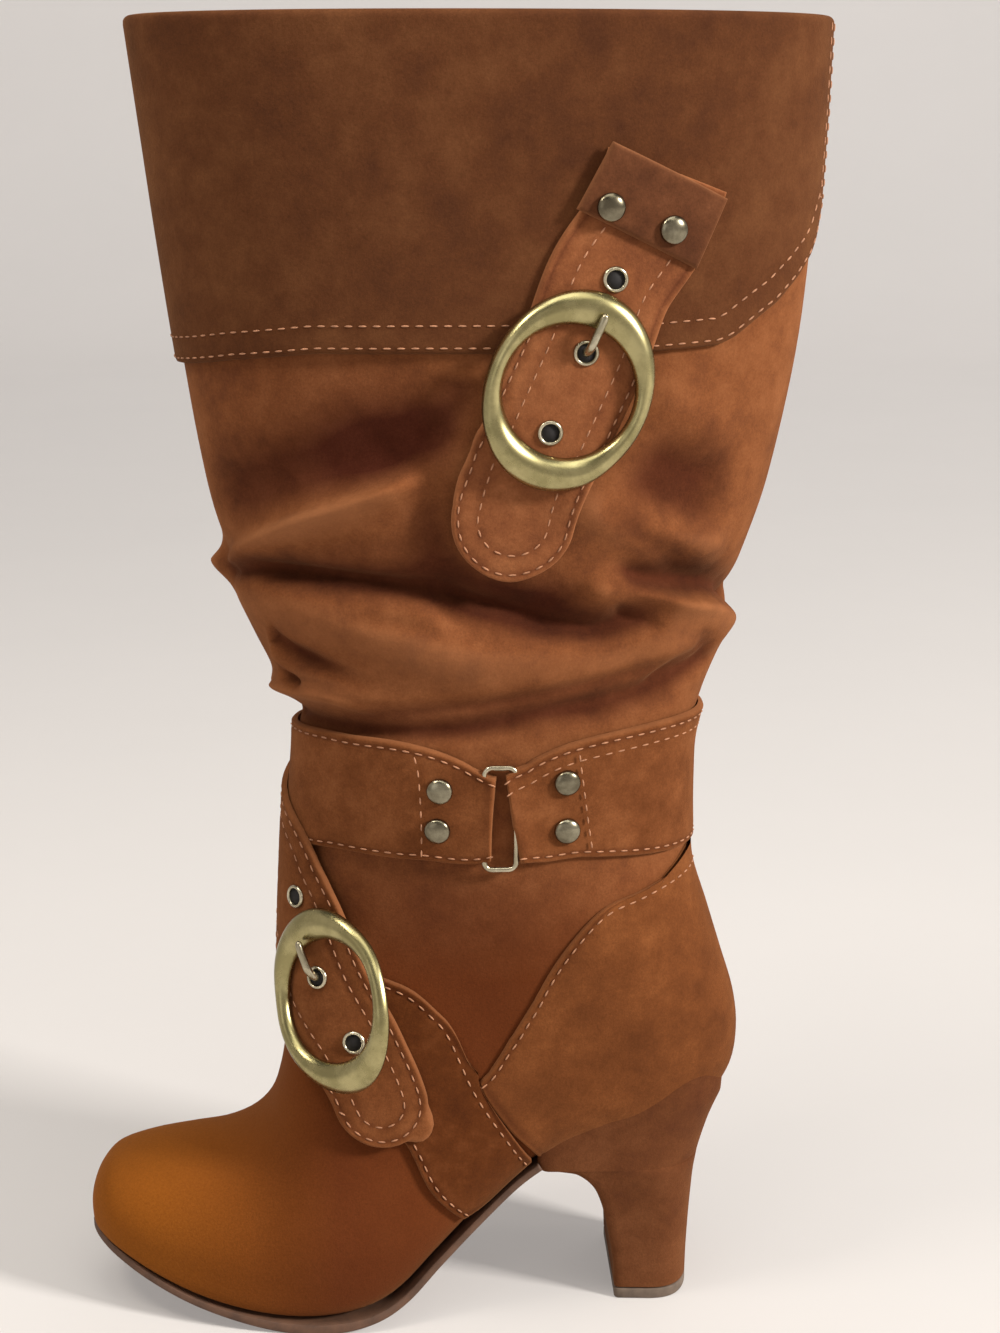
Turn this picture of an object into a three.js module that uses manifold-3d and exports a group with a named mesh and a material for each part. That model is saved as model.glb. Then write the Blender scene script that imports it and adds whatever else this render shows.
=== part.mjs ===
// Knee-high slouch boot for the left foot, in millimetres: toe at -X, outer side at -Y, up +Z.
import * as THREE from "three";
import { mergeVertices } from "three/addons/utils/BufferGeometryUtils.js";
import Module from "manifold-3d";

// Sizes of the last and the shaft
const footLength = 228;
const ballWidth = 87;
const heelHeight = 68;
const instepHeight = 80;
const shaftHeight = 432.5;
const rimDepth = 218;
const rimWidth = 112;

// Thicknesses and clearances
const upperWall = 2;
const cuffWall = 2.2;
const counterWall = 1.6;
const strapWall = 2;
const beltWall = 2;
const beltEndWall = 4.4;
const outsoleWall = 2.2;
const insoleWall = 2.5;
const topLiftWall = 3.9;
const clear = 0.3;
const strapEase = 0.25;
const lastingMargin = 11;
const soleEdge = 0.6;

// Straps and fittings
const strapHalf = 19.5;
const ringLength = 62.4;
const ringWidth = 51;
const ringHole = 40.5;
const ringHeight = 3.4;
const ringEase = 0.5;
const instepRingTurn = -18;
const prongRadius = 1.4;
const prongReach = 13;
const prongLift = 1.2;
const eyeletRadius = 4;
const eyeletHole = 2.7;
const eyeletTube = 3.2;
const eyeletHeight = 0.9;
const studRadius = 4.3;
const studHeight = 2.6;
const wireRadius = 0.9;
const wireHalfWidth = 5.2;
const wireHalfHeight = 17.4;
const backSlit = 16;

// Layers, as heights above the upper's surface
const overUpper = clear;
const overCuff = clear + cuffWall + clear;
const overBelt = clear + strapEase + beltWall + clear;

const wasm = await Module();
wasm.setup();

// Sections from the toe tip to the ankle. The low point runs along the sole and up the heel, the high
// point along the vamp. Shares: X of footLength, low Z of heelHeight, high Z of instepHeight, sides of ballWidth.
// Columns: lowX, lowZ, highX, highZ, outer, inner, widest, roundLow, roundHigh.
const footSections = [
  [-0.634, 0.4, -0.635, 0.385, 0.03, 0.03, 0.45, 2.6, 2.2],
  [-0.6295, 0.366, -0.633, 0.46, 0.105, 0.11, 0.42, 3.4, 2.2],
  [-0.6165, 0.345, -0.6215, 0.54, 0.182, 0.21, 0.38, 4.4, 2.2],
  [-0.588, 0.303, -0.5965, 0.61, 0.262, 0.308, 0.34, 5.4, 2.15],
  [-0.535, 0.217, -0.544, 0.655, 0.34, 0.39, 0.32, 6, 2.1],
  [-0.469, 0.13, -0.4825, 0.681, 0.408, 0.45, 0.31, 6, 2.1],
  [-0.399, 0.0725, -0.43, 0.706, 0.46, 0.477, 0.3, 6, 2.1],
  [-0.329, 0.0385, -0.386, 0.769, 0.49, 0.483, 0.3, 6, 2.1],
  [-0.259, 0.0385, -0.356, 0.869, 0.51, 0.471, 0.31, 5.6, 2.1],
  [-0.197, 0.071, -0.34, 1.0, 0.506, 0.448, 0.33, 5, 2.1],
  [-0.149, 0.152, -0.331, 1.1375, 0.49, 0.425, 0.36, 4.6, 2.05],
  [-0.0965, 0.322, -0.3255, 1.275, 0.47, 0.408, 0.39, 4.2, 2.0],
  [-0.035, 0.522, -0.322, 1.4, 0.447, 0.402, 0.41, 3.8, 2.0],
  [0.035, 0.73, -0.32, 1.5125, 0.43, 0.402, 0.43, 3.5, 2.0],
  [0.114, 0.872, -0.3185, 1.625, 0.42, 0.402, 0.45, 3.2, 2.0],
  [0.193, 0.936, -0.317, 1.725, 0.415, 0.408, 0.46, 2.9, 2.0],
  [0.261, 0.968, -0.3155, 1.8125, 0.412, 0.408, 0.46, 2.7, 2.0],
  [0.314, 1.052, -0.314, 1.8875, 0.41, 0.408, 0.46, 2.5, 2.0],
  [0.347, 1.21, -0.3125, 1.9625, 0.41, 0.408, 0.46, 2.4, 2.0],
  [0.3555, 1.397, -0.311, 2.0375, 0.41, 0.41, 0.46, 2.4, 2.0],
  [0.349, 1.588, -0.309, 2.125, 0.412, 0.412, 0.46, 2.35, 2.0],
  [0.329, 1.809, -0.3065, 2.225, 0.415, 0.415, 0.47, 2.35, 2.0],
  [0.306, 2.059, -0.304, 2.3375, 0.42, 0.42, 0.48, 2.3, 2.05],
  [0.283, 2.309, -0.3005, 2.45, 0.425, 0.425, 0.49, 2.3, 2.1],
];

// Sections of the shaft. Shares: X of rimDepth, Z of shaftHeight, sides of rimWidth.
// Columns: backX, backZ, frontX, frontZ, outer, inner, widest, roundBack, roundFront.
const shaftSections = [
  [0.2915, 0.398, -0.3125, 0.469, 0.332, 0.332, 0.5, 2.3, 2.1],
  [0.2905, 0.4345, -0.3125, 0.4855, 0.336, 0.336, 0.5, 2.3, 2.1],
  [0.2935, 0.469, -0.3235, 0.502, 0.346, 0.346, 0.5, 2.3, 2.15],
  [0.313, 0.506, -0.348, 0.5225, 0.366, 0.366, 0.5, 2.3, 2.2],
  [0.342, 0.546, -0.38, 0.555, 0.388, 0.388, 0.5, 2.3, 2.2],
  [0.352, 0.578, -0.403, 0.585, 0.405, 0.405, 0.5, 2.3, 2.2],
  [0.3665, 0.6105, -0.414, 0.615, 0.424, 0.424, 0.5, 2.3, 2.2],
  [0.404, 0.6705, -0.444, 0.6725, 0.452, 0.452, 0.5, 2.3, 2.2],
  [0.4405, 0.763, -0.4715, 0.763, 0.48, 0.48, 0.5, 2.3, 2.2],
  [0.4575, 0.846, -0.493, 0.846, 0.49, 0.49, 0.5, 2.3, 2.2],
  [0.4655, 0.925, -0.5115, 0.925, 0.497, 0.497, 0.5, 2.3, 2.2],
  [0.47, 1.0, -0.529, 1.0, 0.5, 0.5, 0.5, 2.3, 2.2],
];

// Slouch folds. Angles run from 0 at the back over 90 on the outer side to 180 in front and 360; heights are
// shares of shaftHeight, depth (out of the surface) and reach (half width) are shares of rimDepth.
const foldColumns = ["fromAngle", "fromHeight", "toAngle", "toHeight", "sag", "depth", "reach"];
const folds = [
  [184, 0.608, 96, 0.702, -0.01, 0.02, 0.044],
  [186, 0.604, 52, 0.573, 0.004, -0.025, 0.034],
  [188, 0.552, 112, 0.53, 0.0, -0.016, 0.03],
  [200, 0.505, 122, 0.518, 0.0, 0.018, 0.026],
  [160, 0.495, 14, 0.532, -0.012, -0.014, 0.028],
  [86, 0.68, 4, 0.63, 0.004, 0.019, 0.04],
  [78, 0.628, -28, 0.542, 0.008, -0.017, 0.028],
  [92, 0.605, -24, 0.536, 0.01, 0.016, 0.024],
  [290, 0.67, 186, 0.6, 0.0, 0.02, 0.044],
  [330, 0.63, 200, 0.585, -0.01, -0.022, 0.034],
  [345, 0.6, 225, 0.56, 0.012, 0.02, 0.034],
  [320, 0.54, 190, 0.535, -0.01, -0.02, 0.03],
];
const foldFreeBelow = 0.478;
const foldFreeAbove = 0.74;
const foldFade = 0.016;

// Sole line and outline. Shares: X of footLength, Z of heelHeight, sides of ballWidth.
// Columns: x, z, outer, inner.
const soleStations = [
  [-0.6345, 0.36, 0.03, 0.03],
  [-0.6285, 0.352, 0.11, 0.12],
  [-0.614, 0.336, 0.187, 0.217],
  [-0.5865, 0.298, 0.268, 0.314],
  [-0.5365, 0.216, 0.346, 0.398],
  [-0.473, 0.131, 0.412, 0.456],
  [-0.4035, 0.0735, 0.465, 0.48],
  [-0.329, 0.0368, 0.498, 0.485],
  [-0.259, 0.0368, 0.517, 0.468],
  [-0.197, 0.07, 0.503, 0.433],
  [-0.149, 0.15, 0.465, 0.398],
  [-0.0965, 0.321, 0.42, 0.362],
  [-0.035, 0.521, 0.376, 0.337],
  [0.02, 0.693, 0.348, 0.327],
  [0.06, 0.795, 0.342, 0.327],
];

// Heel column. Shares: Z and X of heelHeight, half width of ballWidth.
// Columns: z, breast, back, half.
const heelStations = [
  [0.062, 0.58, 0.975, 0.278],
  [0.2, 0.572, 0.978, 0.283],
  [0.4, 0.54, 0.988, 0.295],
  [0.54, 0.508, 0.998, 0.307],
  [0.65, 0.462, 1.008, 0.318],
  [0.73, 0.39, 1.022, 0.328],
  [0.8, 0.24, 1.05, 0.335],
  [0.96, 0.22, 1.085, 0.33],
];
const heelCornerRound = 2.7;

// Side outlines of the overlays, as X shares of footLength and Z shares of heelHeight
const counterSeam = [
  [0.5, 2.36], [0.285, 2.35], [0.2, 2.27], [0.138, 2.19], [0.08, 1.96], [0.0385, 1.71], [-0.02, 1.38],
  [-0.033, 1.29], [0.0145, 1.03],
];
const shankEdge = [
  [-0.24, 1.85], [-0.138, 1.79], [-0.102, 1.69], [-0.0745, 1.575], [-0.039, 1.29], [0.0085, 1.02], [0.047, 0.81],
  [0.047, 0.3], [-0.046, 0.44], [-0.066, 0.52], [-0.112, 0.755], [-0.147, 1.01], [-0.21, 1.3],
];
const heelCoverLine = [[0.053, 0.81], [0.094, 0.905], [0.158, 0.965], [0.208, 1.02], [0.285, 1.12], [0.5, 1.3]];
const cuffEdge = [
  [-0.8, 0.755], [-0.477, 0.7585], [-0.386, 0.7667], [-0.268, 0.7736], [-0.119, 0.7746], [0.211, 0.775], [0.2995, 0.7776],
  [0.323, 0.7822], [0.372, 0.7998], [0.39, 0.8055], [0.424, 0.8224], [0.446, 0.8365], [0.4565, 0.8476], [0.472, 0.88],
  [0.5, 0.92], [0.8, 0.94],
];

// Strap paths: X shares of footLength, Z shares of instepHeight, side (1 outer, -1 inner), half width in shares
// of strapHalf, wall in shares of strapWall.
const beltPath = [
  [-0.0165, 2.29, 1, 0.72, 1], [-0.06, 2.3, 1, 0.86, 0.55], [-0.136, 2.35, 1, 1.02, 0.5],
  [-0.24, 2.36, 1, 1.07, 0.5], [-0.298, 2.33, 0, 1.1, 0.5], [-0.24, 2.33, -1, 1.08, 0.5],
  [-0.136, 2.33, -1, 1.08, 0.5], [0.0, 2.33, -1, 1.08, 0.5], [0.145, 2.35, -1, 1.13, 0.5],
  [0.235, 2.36, -1, 1.2, 0.5], [0.279, 2.37, 0, 1.22, 0.5], [0.225, 2.37, 1, 1.2, 0.5],
  [0.12, 2.36, 1, 1.06, 0.5], [0.045, 2.31, 1, 0.88, 0.55], [0.0095, 2.29, 1, 0.78, 1],
];
const instepPath = [
  [-0.13, 2.42, -1, 1, 1], [-0.21, 2.32, -1, 1, 1], [-0.275, 2.16, -1, 1, 1], [-0.31, 2.0, 0, 1, 1],
  [-0.307, 1.86, 1, 1, 1], [-0.274, 1.55, 1, 0.95, 1], [-0.222, 1.29, 1, 0.86, 1], [-0.189, 1.1, 1, 0.8, 1],
  [-0.167, 0.86, 1, 0.78, 1],
];

// On the shaft: X shares of rimDepth and Z shares of shaftHeight
const cuffStrapPath = [
  [0.219, 0.9, 1, 1, 1], [0.192, 0.8636, 1, 1, 1], [0.142, 0.8254, 1, 1, 1], [0.1064, 0.7764, 1, 1, 1],
  [0.0587, 0.7209, 1, 1, 1], [0.0165, 0.6709, 1, 1, 1], [-0.01, 0.6135, 1, 1, 1],
];
const foldEnd = [0.1748, 0.8536, 1, 1.04, 1];

// Places on the side view, in the same shares as the strap that each one sits on
const beltRingPlace = [-0.0065, 2.29];
const instepRingPlace = [-0.234, 1.472];
const instepEyelets = [[-0.289, 1.86], [-0.262, 1.54], [-0.2145, 1.295]];
const beltStuds = [[-0.0906, 2.4086], [-0.0938, 2.2387], [0.0872, 2.4407], [0.0877, 2.2321]];
const cuffRingPlace = [0.0825, 0.7505];
const cuffEyelets = [[0.145, 0.8265], [0.1064, 0.7764], [0.0587, 0.7209]];
const cuffStuds = [[0.1353, 0.8758], [0.2188, 0.8603]];
const ankleScale = [footLength, instepHeight];
const shaftScale = [rimDepth, shaftHeight];

const rad = THREE.MathUtils.degToRad;
const scaled = (rows, sizes) => rows.map((row) => row.map((share, i) => share * (sizes[i] ?? 1)));
const record = (columns, row) => Object.fromEntries(columns.map((name, i) => [name, row[i]]));

const sections = [
  ...scaled(footSections, [footLength, heelHeight, footLength, instepHeight, ballWidth, ballWidth]),
  ...scaled(shaftSections, [rimDepth, shaftHeight, rimDepth, shaftHeight, rimWidth, rimWidth]),
];
const lastRow = sections.length - 1;
const shaftRow = footSections.length;

// A smooth value between four rows of a table
function between(a, b, c, d, f) {
  return b + 0.5 * f * (c - a + f * (2 * a - 5 * b + 4 * c - d + f * (3 * (b - c) + d - a)));
}

// The row of a table at a fraction of its length
function rowAt(table, t) {
  const last = table.length - 1;
  const i = Math.min(Math.max(Math.floor(t), 0), last - 1);
  const pick = (k) => table[Math.min(Math.max(k, 0), last)];
  const [a, b, c, d] = [pick(i - 1), pick(i), pick(i + 1), pick(i + 2)];
  return b.map((_, k) => between(a[k], b[k], c[k], d[k], t - i));
}

const smooth = (v) => {
  const c = Math.min(Math.max(v, 0), 1);
  return c * c * (3 - 2 * c);
};

// How far the folds lift the surface at an angle and a height
function foldLift(angle, z) {
  const height = z / shaftHeight;
  const free = smooth((height - foldFreeBelow) / foldFade) * smooth((foldFreeAbove - height) / foldFade);
  if (free === 0) return 0;
  let lift = 0;
  for (const row of folds) {
    const fold = record(foldColumns, row);
    for (const turn of [-360, 0, 360]) {
      const u = (angle + turn - fold.fromAngle) / (fold.toAngle - fold.fromAngle);
      if (u <= 0 || u >= 1) continue;
      const line = fold.fromHeight + (fold.toHeight - fold.fromHeight) * u + 4 * fold.sag * u * (1 - u);
      const off = ((height - line) * shaftHeight) / (fold.reach * rimDepth);
      const fade = smooth(u * 5) * smooth((1 - u) * 5);
      lift += fold.depth * rimDepth * Math.exp(-off * off) * fade;
    }
  }
  return lift * free;
}

// The upper's outer surface at a section t and an angle in degrees
function surface(t, angle) {
  const [lowX, lowZ, highX, highZ, outer, inner, widest, roundLow, roundHigh] = rowAt(sections, t);
  const c = Math.cos(rad(angle));
  const s = Math.sin(rad(angle));
  const power = 2 / (c > 0 ? roundLow : roundHigh);
  const share = widest - Math.sign(c) * Math.abs(c) ** power * (c > 0 ? widest : 1 - widest);
  const side = Math.sign(s) * Math.abs(s) ** power * (s > 0 ? outer : inner);
  const p = new THREE.Vector3(lowX + (highX - lowX) * share, -side, lowZ + (highZ - lowZ) * share);
  const lift = foldLift(((angle % 360) + 360) % 360, p.z);
  const axis = new THREE.Vector3(highX - lowX, 0, highZ - lowZ).normalize();
  return p.addScaledVector(axis, -c * lift).add(new THREE.Vector3(0, -s * lift, 0));
}

function slopes(t, angle) {
  const ends = [Math.max(t - 0.02, 0), Math.min(t + 0.02, lastRow)];
  const along = surface(ends[1], angle).sub(surface(ends[0], angle)).divideScalar(ends[1] - ends[0]);
  const round = surface(t, angle + 0.5).sub(surface(t, angle - 0.5));
  return [along, round];
}

function normalAt(t, angle) {
  const [along, round] = slopes(t, angle);
  return along.cross(round).normalize();
}

function lifted(t, angle, height) {
  return surface(t, angle).addScaledVector(normalAt(t, angle), height);
}

// The section and angle where the surface passes a point of the side view
function placeOnSide(x, z, side) {
  let best = [0, 0, Infinity];
  const angles = side === 0 ? [x < 0 ? 180 : 0] : Array.from({ length: 17 }, (_, i) => side * (10 + 10 * i));
  for (let t = 3; t < lastRow; t += 0.5) {
    for (const angle of angles) {
      const p = surface(t, angle);
      const off = Math.hypot(p.x - x, p.z - z);
      if (off < best[2]) best = [t, angle, off];
    }
  }
  for (let size = 0.25; size > 0.001; size *= 0.6) {
    for (const [dt, da] of [[1, 0], [-1, 0], [0, 1], [0, -1], [1, 1], [-1, -1], [1, -1], [-1, 1]]) {
      const t = Math.min(Math.max(best[0] + dt * size, 0), lastRow);
      const angle = side === 0 ? best[1] : best[1] + da * size * 20;
      const p = surface(t, angle);
      const off = Math.hypot(p.x - x, p.z - z);
      if (off < best[2]) best = [t, angle, off];
    }
  }
  return [best[0], best[1]];
}

// A walk over the surface in a direction, as the section and angle that it reaches
function walk(t, angle, direction, distance) {
  const steps = 4;
  const heading = direction.clone();
  for (let i = 0; i < steps; i++) {
    const [along, round] = slopes(t, angle);
    const aa = along.dot(along);
    const rr = round.dot(round);
    const ar = along.dot(round);
    const ah = along.dot(heading);
    const rh = round.dot(heading);
    const det = aa * rr - ar * ar;
    const stepT = (((ah * rr - rh * ar) / det) * distance) / steps;
    const stepAngle = (((rh * aa - ah * ar) / det) * distance) / steps;
    t = Math.min(t + stepT, lastRow - 0.01);
    angle += stepAngle;
    const normal = normalAt(t, angle);
    heading.addScaledVector(normal, -heading.dot(normal)).normalize();
  }
  return [t, angle];
}

// Solids from rings of points, with a fan over each end
function loftGeometry(rings) {
  const n = rings[0].length;
  const points = rings.flat();
  const faces = [];
  for (let i = 0; i < rings.length - 1; i++) {
    for (let j = 0; j < n; j++) {
      const a = i * n + j;
      const b = i * n + ((j + 1) % n);
      faces.push(a, b, a + n, b, b + n, a + n);
    }
  }
  for (const [start, flip] of [[0, true], [(rings.length - 1) * n, false]]) {
    const middle = new THREE.Vector3();
    for (let j = 0; j < n; j++) middle.addScaledVector(points[start + j], 1 / n);
    points.push(middle);
    for (let j = 0; j < n; j++) {
      const [a, b] = [start + j, start + ((j + 1) % n)];
      faces.push(...(flip ? [b, a] : [a, b]), points.length - 1);
    }
  }
  const geometry = new THREE.BufferGeometry().setFromPoints(points);
  geometry.setIndex(faces);
  return geometry;
}

function solidOf(source) {
  const geometry = source.clone();
  geometry.deleteAttribute("normal");
  geometry.deleteAttribute("uv");
  const merged = mergeVertices(geometry, 1e-4);
  const vertProperties = merged.attributes.position.array;
  const triVerts = new Uint32Array(merged.index.array);
  const solid = new wasm.Manifold(new wasm.Mesh({ numProp: 3, vertProperties, triVerts }));
  if (solid.volume() > 0) return solid;
  for (let i = 0; i < triVerts.length; i += 3) {
    [triVerts[i + 1], triVerts[i + 2]] = [triVerts[i + 2], triVerts[i + 1]];
  }
  return new wasm.Manifold(new wasm.Mesh({ numProp: 3, vertProperties, triVerts }));
}

const loft = (rings) => solidOf(loftGeometry(rings));

function largest(solid) {
  return solid.decompose().reduce((a, b) => (b.volume() > a.volume() ? b : a));
}

// Section stops: one for each foot row, close together where the shaft folds
const shaftStops = [1, 2, 2, 3, 3, 3, 3, 3, 2, 1, 1];
const stops = [...Array(shaftRow).keys()];
shaftStops.forEach((count, i) => {
  for (let k = 0; k < count; k++) stops.push(shaftRow + i + k / count);
});
stops.push(lastRow);

// The boot's whole form, grown outwards by a height and carried up past the rim
function form(height, above, columns) {
  const rings = stops.map((t) =>
    Array.from({ length: columns }, (_, j) => lifted(t, (360 * j) / columns, height)),
  );
  if (above > 0) rings.push(rings.at(-1).map((p) => p.clone().setZ(shaftHeight + above)));
  return loft(rings);
}

// A slab along the sole line, between two heights above it, spread sideways
function soleSlab(low, high, outerShare, innerShare, spread, from = 0, to = soleStations.length - 1) {
  const stations = scaled(soleStations, [footLength, heelHeight, ballWidth, ballWidth]);
  const rings = [];
  for (let t = from; t <= to + 1e-6; t += (to - from) / 24) {
    const [x, z, outer, inner] = rowAt(stations, t);
    const ahead = rowAt(stations, Math.min(t + 0.1, stations.length - 1));
    const behind = rowAt(stations, Math.max(t - 0.1, 0));
    const run = new THREE.Vector2(ahead[0] - behind[0], ahead[1] - behind[1]).normalize();
    const at = (y, height) => new THREE.Vector3(x - run.y * height, y, z + run.x * height);
    const outside = -(outer * outerShare + spread);
    const inside = inner * innerShare + spread;
    rings.push([at(outside, low), at(inside, low), at(inside, high), at(outside, high)]);
  }
  return loft(rings);
}

// A prism across the boot from an outline in the side view, out to both sides or to the outer one
function sidePrism(points, outerReach = ballWidth, innerReach = ballWidth) {
  const shape = new THREE.Shape(points.map(([x, z]) => new THREE.Vector2(x, z)));
  const geometry = new THREE.ExtrudeGeometry(shape, { depth: outerReach + innerReach, bevelEnabled: false });
  return solidOf(geometry.rotateX(Math.PI / 2).translate(0, innerReach, 0));
}

// A strap laid on the surface along a path, at a height, with a round tail if asked
function strapSolid(path, scale, height, wall, tail) {
  const rows = scaled(path, [...scale, 1, strapHalf, wall]);
  const places = rows.map(([x, z, side]) => placeOnSide(x, z, side));
  for (let i = 1; i < places.length; i++) {
    while (places[i][1] - places[i - 1][1] > 180) places[i][1] -= 360;
    while (places[i][1] - places[i - 1][1] < -180) places[i][1] += 360;
  }
  const across = 4;
  const count = 4 * (places.length - 1);
  const us = Array.from({ length: count + 1 }, (_, i) => (i * (places.length - 1)) / count);
  if (tail) us.push(...[0.35, 0.65, 0.85, 0.95].map((f) => places.length - 1 - (1 - f) / 4));
  us.sort((a, b) => a - b);
  const end = places.length - 1;
  const lengthAt = (u) => surface(...rowAt(places, u)).distanceTo(surface(...rowAt(places, end)));
  const rings = us.map((u) => {
    const [t, angle] = rowAt(places, u);
    const ahead = surface(...rowAt(places, Math.min(u + 0.05, end)));
    const run = ahead.sub(surface(...rowAt(places, Math.max(u - 0.05, 0)))).normalize();
    const side = normalAt(t, angle).cross(run).normalize();
    const [, , , fullHalf, thick] = rowAt(rows, u);
    const left = tail ? Math.min(lengthAt(u) / fullHalf, 1) : 1;
    const half = fullHalf * Math.max(Math.sqrt(1 - (1 - left) ** 2), 0.12);
    const line = Array.from({ length: across + 1 }, (_, k) => {
      const [st, sa] = walk(t, angle, side, half * ((2 * k) / across - 1));
      return [lifted(st, sa, height), lifted(st, sa, height + thick)];
    });
    return [...line.map((pair) => pair[0]), ...line.map((pair) => pair[1]).reverse()];
  });
  return loft(rings);
}

// A frame on the surface: X along the strap, Y across it, Z out, turned to the front by an angle if asked
function frameAt(place, ahead, scale, height, turn = 0) {
  const [t, angle] = placeOnSide(place[0] * scale[0], place[1] * scale[1], 1);
  const origin = lifted(t, angle, height);
  const target = surface(...placeOnSide(ahead[0] * scale[0], ahead[1] * scale[1], 1));
  const run = target.sub(surface(t, angle)).normalize();
  const out = normalAt(t, angle).applyAxisAngle(run, rad(turn));
  run.addScaledVector(out, -run.dot(out)).normalize();
  const matrix = new THREE.Matrix4().makeBasis(run, out.clone().cross(run), out);
  return { t, angle, run, out, height, matrix: matrix.setPosition(origin) };
}

const placed = (geometry, matrix) => solidOf(geometry.clone().applyMatrix4(matrix));

function latheUp(points, segments) {
  const profile = points.map(([r, z]) => new THREE.Vector2(r, z));
  return new THREE.LatheGeometry(profile, segments).rotateX(Math.PI / 2);
}

function studGeometry() {
  return latheUp(
    [[0, 0], [studRadius, 0], [studRadius, 0.25 * studHeight], [0.72 * studRadius, 0.8 * studHeight], [0, studHeight]],
    14,
  );
}

function eyeletGeometry(wall) {
  const low = -wall * 0.8;
  return latheUp(
    [[eyeletHole, low], [eyeletTube, low], [eyeletTube, 0], [eyeletRadius, 0], [0.86 * eyeletRadius, eyeletHeight],
      [eyeletHole, eyeletHeight], [eyeletHole, low]],
    12,
  );
}

function holeGeometry(wall) {
  const geometry = new THREE.CylinderGeometry(eyeletTube + clear, eyeletTube + clear, 6 * wall, 12);
  return geometry.rotateX(Math.PI / 2);
}

// A closed loop through rings of points
function loopSolid(rings) {
  const n = rings[0].length;
  const faces = [];
  for (let i = 0; i < rings.length; i++) {
    const next = ((i + 1) % rings.length) * n;
    for (let j = 0; j < n; j++) {
      const k = (j + 1) % n;
      faces.push(i * n + j, i * n + k, next + j, i * n + k, next + k, next + j);
    }
  }
  const geometry = new THREE.BufferGeometry().setFromPoints(rings.flat());
  geometry.setIndex(faces);
  return solidOf(geometry);
}

// An oval ring with a domed band, bent to lie along the strap beneath it
function ringSolid(frame) {
  const turns = 28;
  const band = [[0, 0], [0.3, 0.72], [0.5, 1], [0.72, 0.8], [1, 0]];
  const base = frame.matrix;
  const centre = new THREE.Vector3().setFromMatrixPosition(base);
  const across = frame.out.clone().cross(frame.run);
  const heightAt = (u, v) => {
    const middle = walk(frame.t, frame.angle, frame.run, u);
    return lifted(...walk(...middle, across, v), frame.height).sub(centre).dot(frame.out);
  };
  const drop = (u) => Math.max(...[-1, 0, 1].map((share) => heightAt(u, share * strapHalf)));
  const rings = Array.from({ length: turns }, (_, i) => {
    const q = (2 * Math.PI * i) / turns;
    return band.map(([share, rise]) => {
      const outerU = (ringLength / 2) * Math.cos(q);
      const outerV = (ringWidth / 2) * Math.sin(q);
      const innerU = (ringHole / 2) * Math.cos(q);
      const innerV = (ringHole / 2) * Math.sin(q);
      const u = innerU + (outerU - innerU) * share;
      const v = innerV + (outerV - innerV) * share;
      return new THREE.Vector3(u, v, drop(u) + rise * ringHeight).applyMatrix4(base);
    });
  });
  return loopSolid(rings);
}

// A prong out of an eyelet and over the ring's band
function prongSolid(frame, wall) {
  const top = ringHeight + prongRadius + prongLift;
  const points = [[0, -0.5 * wall], [0.12, 0.35], [0.45, 0.9], [1, 1]].map(([share, rise], i) => {
    const height = i === 0 ? rise : rise * top;
    return new THREE.Vector3(share * prongReach, 0, height).applyMatrix4(frame.matrix);
  });
  const section = new THREE.Shape().absarc(0, 0, prongRadius, 0, 2 * Math.PI);
  const extrudePath = new THREE.CatmullRomCurve3(points);
  const options = { steps: 10, curveSegments: 4, extrudePath, bevelEnabled: false };
  return solidOf(new THREE.ExtrudeGeometry(section, options));
}

// Materials
const suede = new THREE.MeshStandardMaterial({ color: 0x7a4632, roughness: 0.95, metalness: 0 });
const suedeDark = new THREE.MeshStandardMaterial({ color: 0x5f3a29, roughness: 0.95, metalness: 0 });
const suedeStrap = new THREE.MeshStandardMaterial({ color: 0x80503e, roughness: 0.9, metalness: 0 });
const brass = new THREE.MeshStandardMaterial({ color: 0x8c7440, roughness: 0.35, metalness: 0.9 });
const darkMetal = new THREE.MeshStandardMaterial({ color: 0x4a4338, roughness: 0.4, metalness: 0.9 });
const nickel = new THREE.MeshStandardMaterial({ color: 0xb9b2a0, roughness: 0.3, metalness: 0.9 });
const tan = new THREE.MeshStandardMaterial({ color: 0xa9835f, roughness: 0.7, metalness: 0 });
const lining = new THREE.MeshStandardMaterial({ color: 0xb59a7c, roughness: 0.8, metalness: 0 });
const liftRubber = new THREE.MeshStandardMaterial({ color: 0x8a7d6c, roughness: 0.8, metalness: 0 });

const boot = new THREE.Group();

function add(name, solid, material) {
  const mesh = solid.getMesh();
  const geometry = new THREE.BufferGeometry();
  geometry.setAttribute("position", new THREE.BufferAttribute(Float32Array.from(mesh.vertProperties), 3));
  geometry.setIndex(new THREE.BufferAttribute(mesh.triVerts, 1));
  geometry.computeVertexNormals();
  const node = new THREE.Mesh(geometry, material);
  node.name = name;
  boot.add(node);
}

const aroundColumns = 28;
const bodyClear = form(clear, 0, aroundColumns);
const coverLine = scaled(heelCoverLine, [footLength, heelHeight]);
const hollow = form(-upperWall, 2 * lastingMargin, aroundColumns / 2);

// Upper: the whole form less its hollow and the opening inside the lasting margin
function makeUpper() {
  const opening = soleSlab(-3 * clear, 2 * upperWall, 1, 1, -lastingMargin, 4, soleStations.length - 1);
  return largest(form(0, 0, aroundColumns).subtract(hollow).subtract(opening));
}

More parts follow.
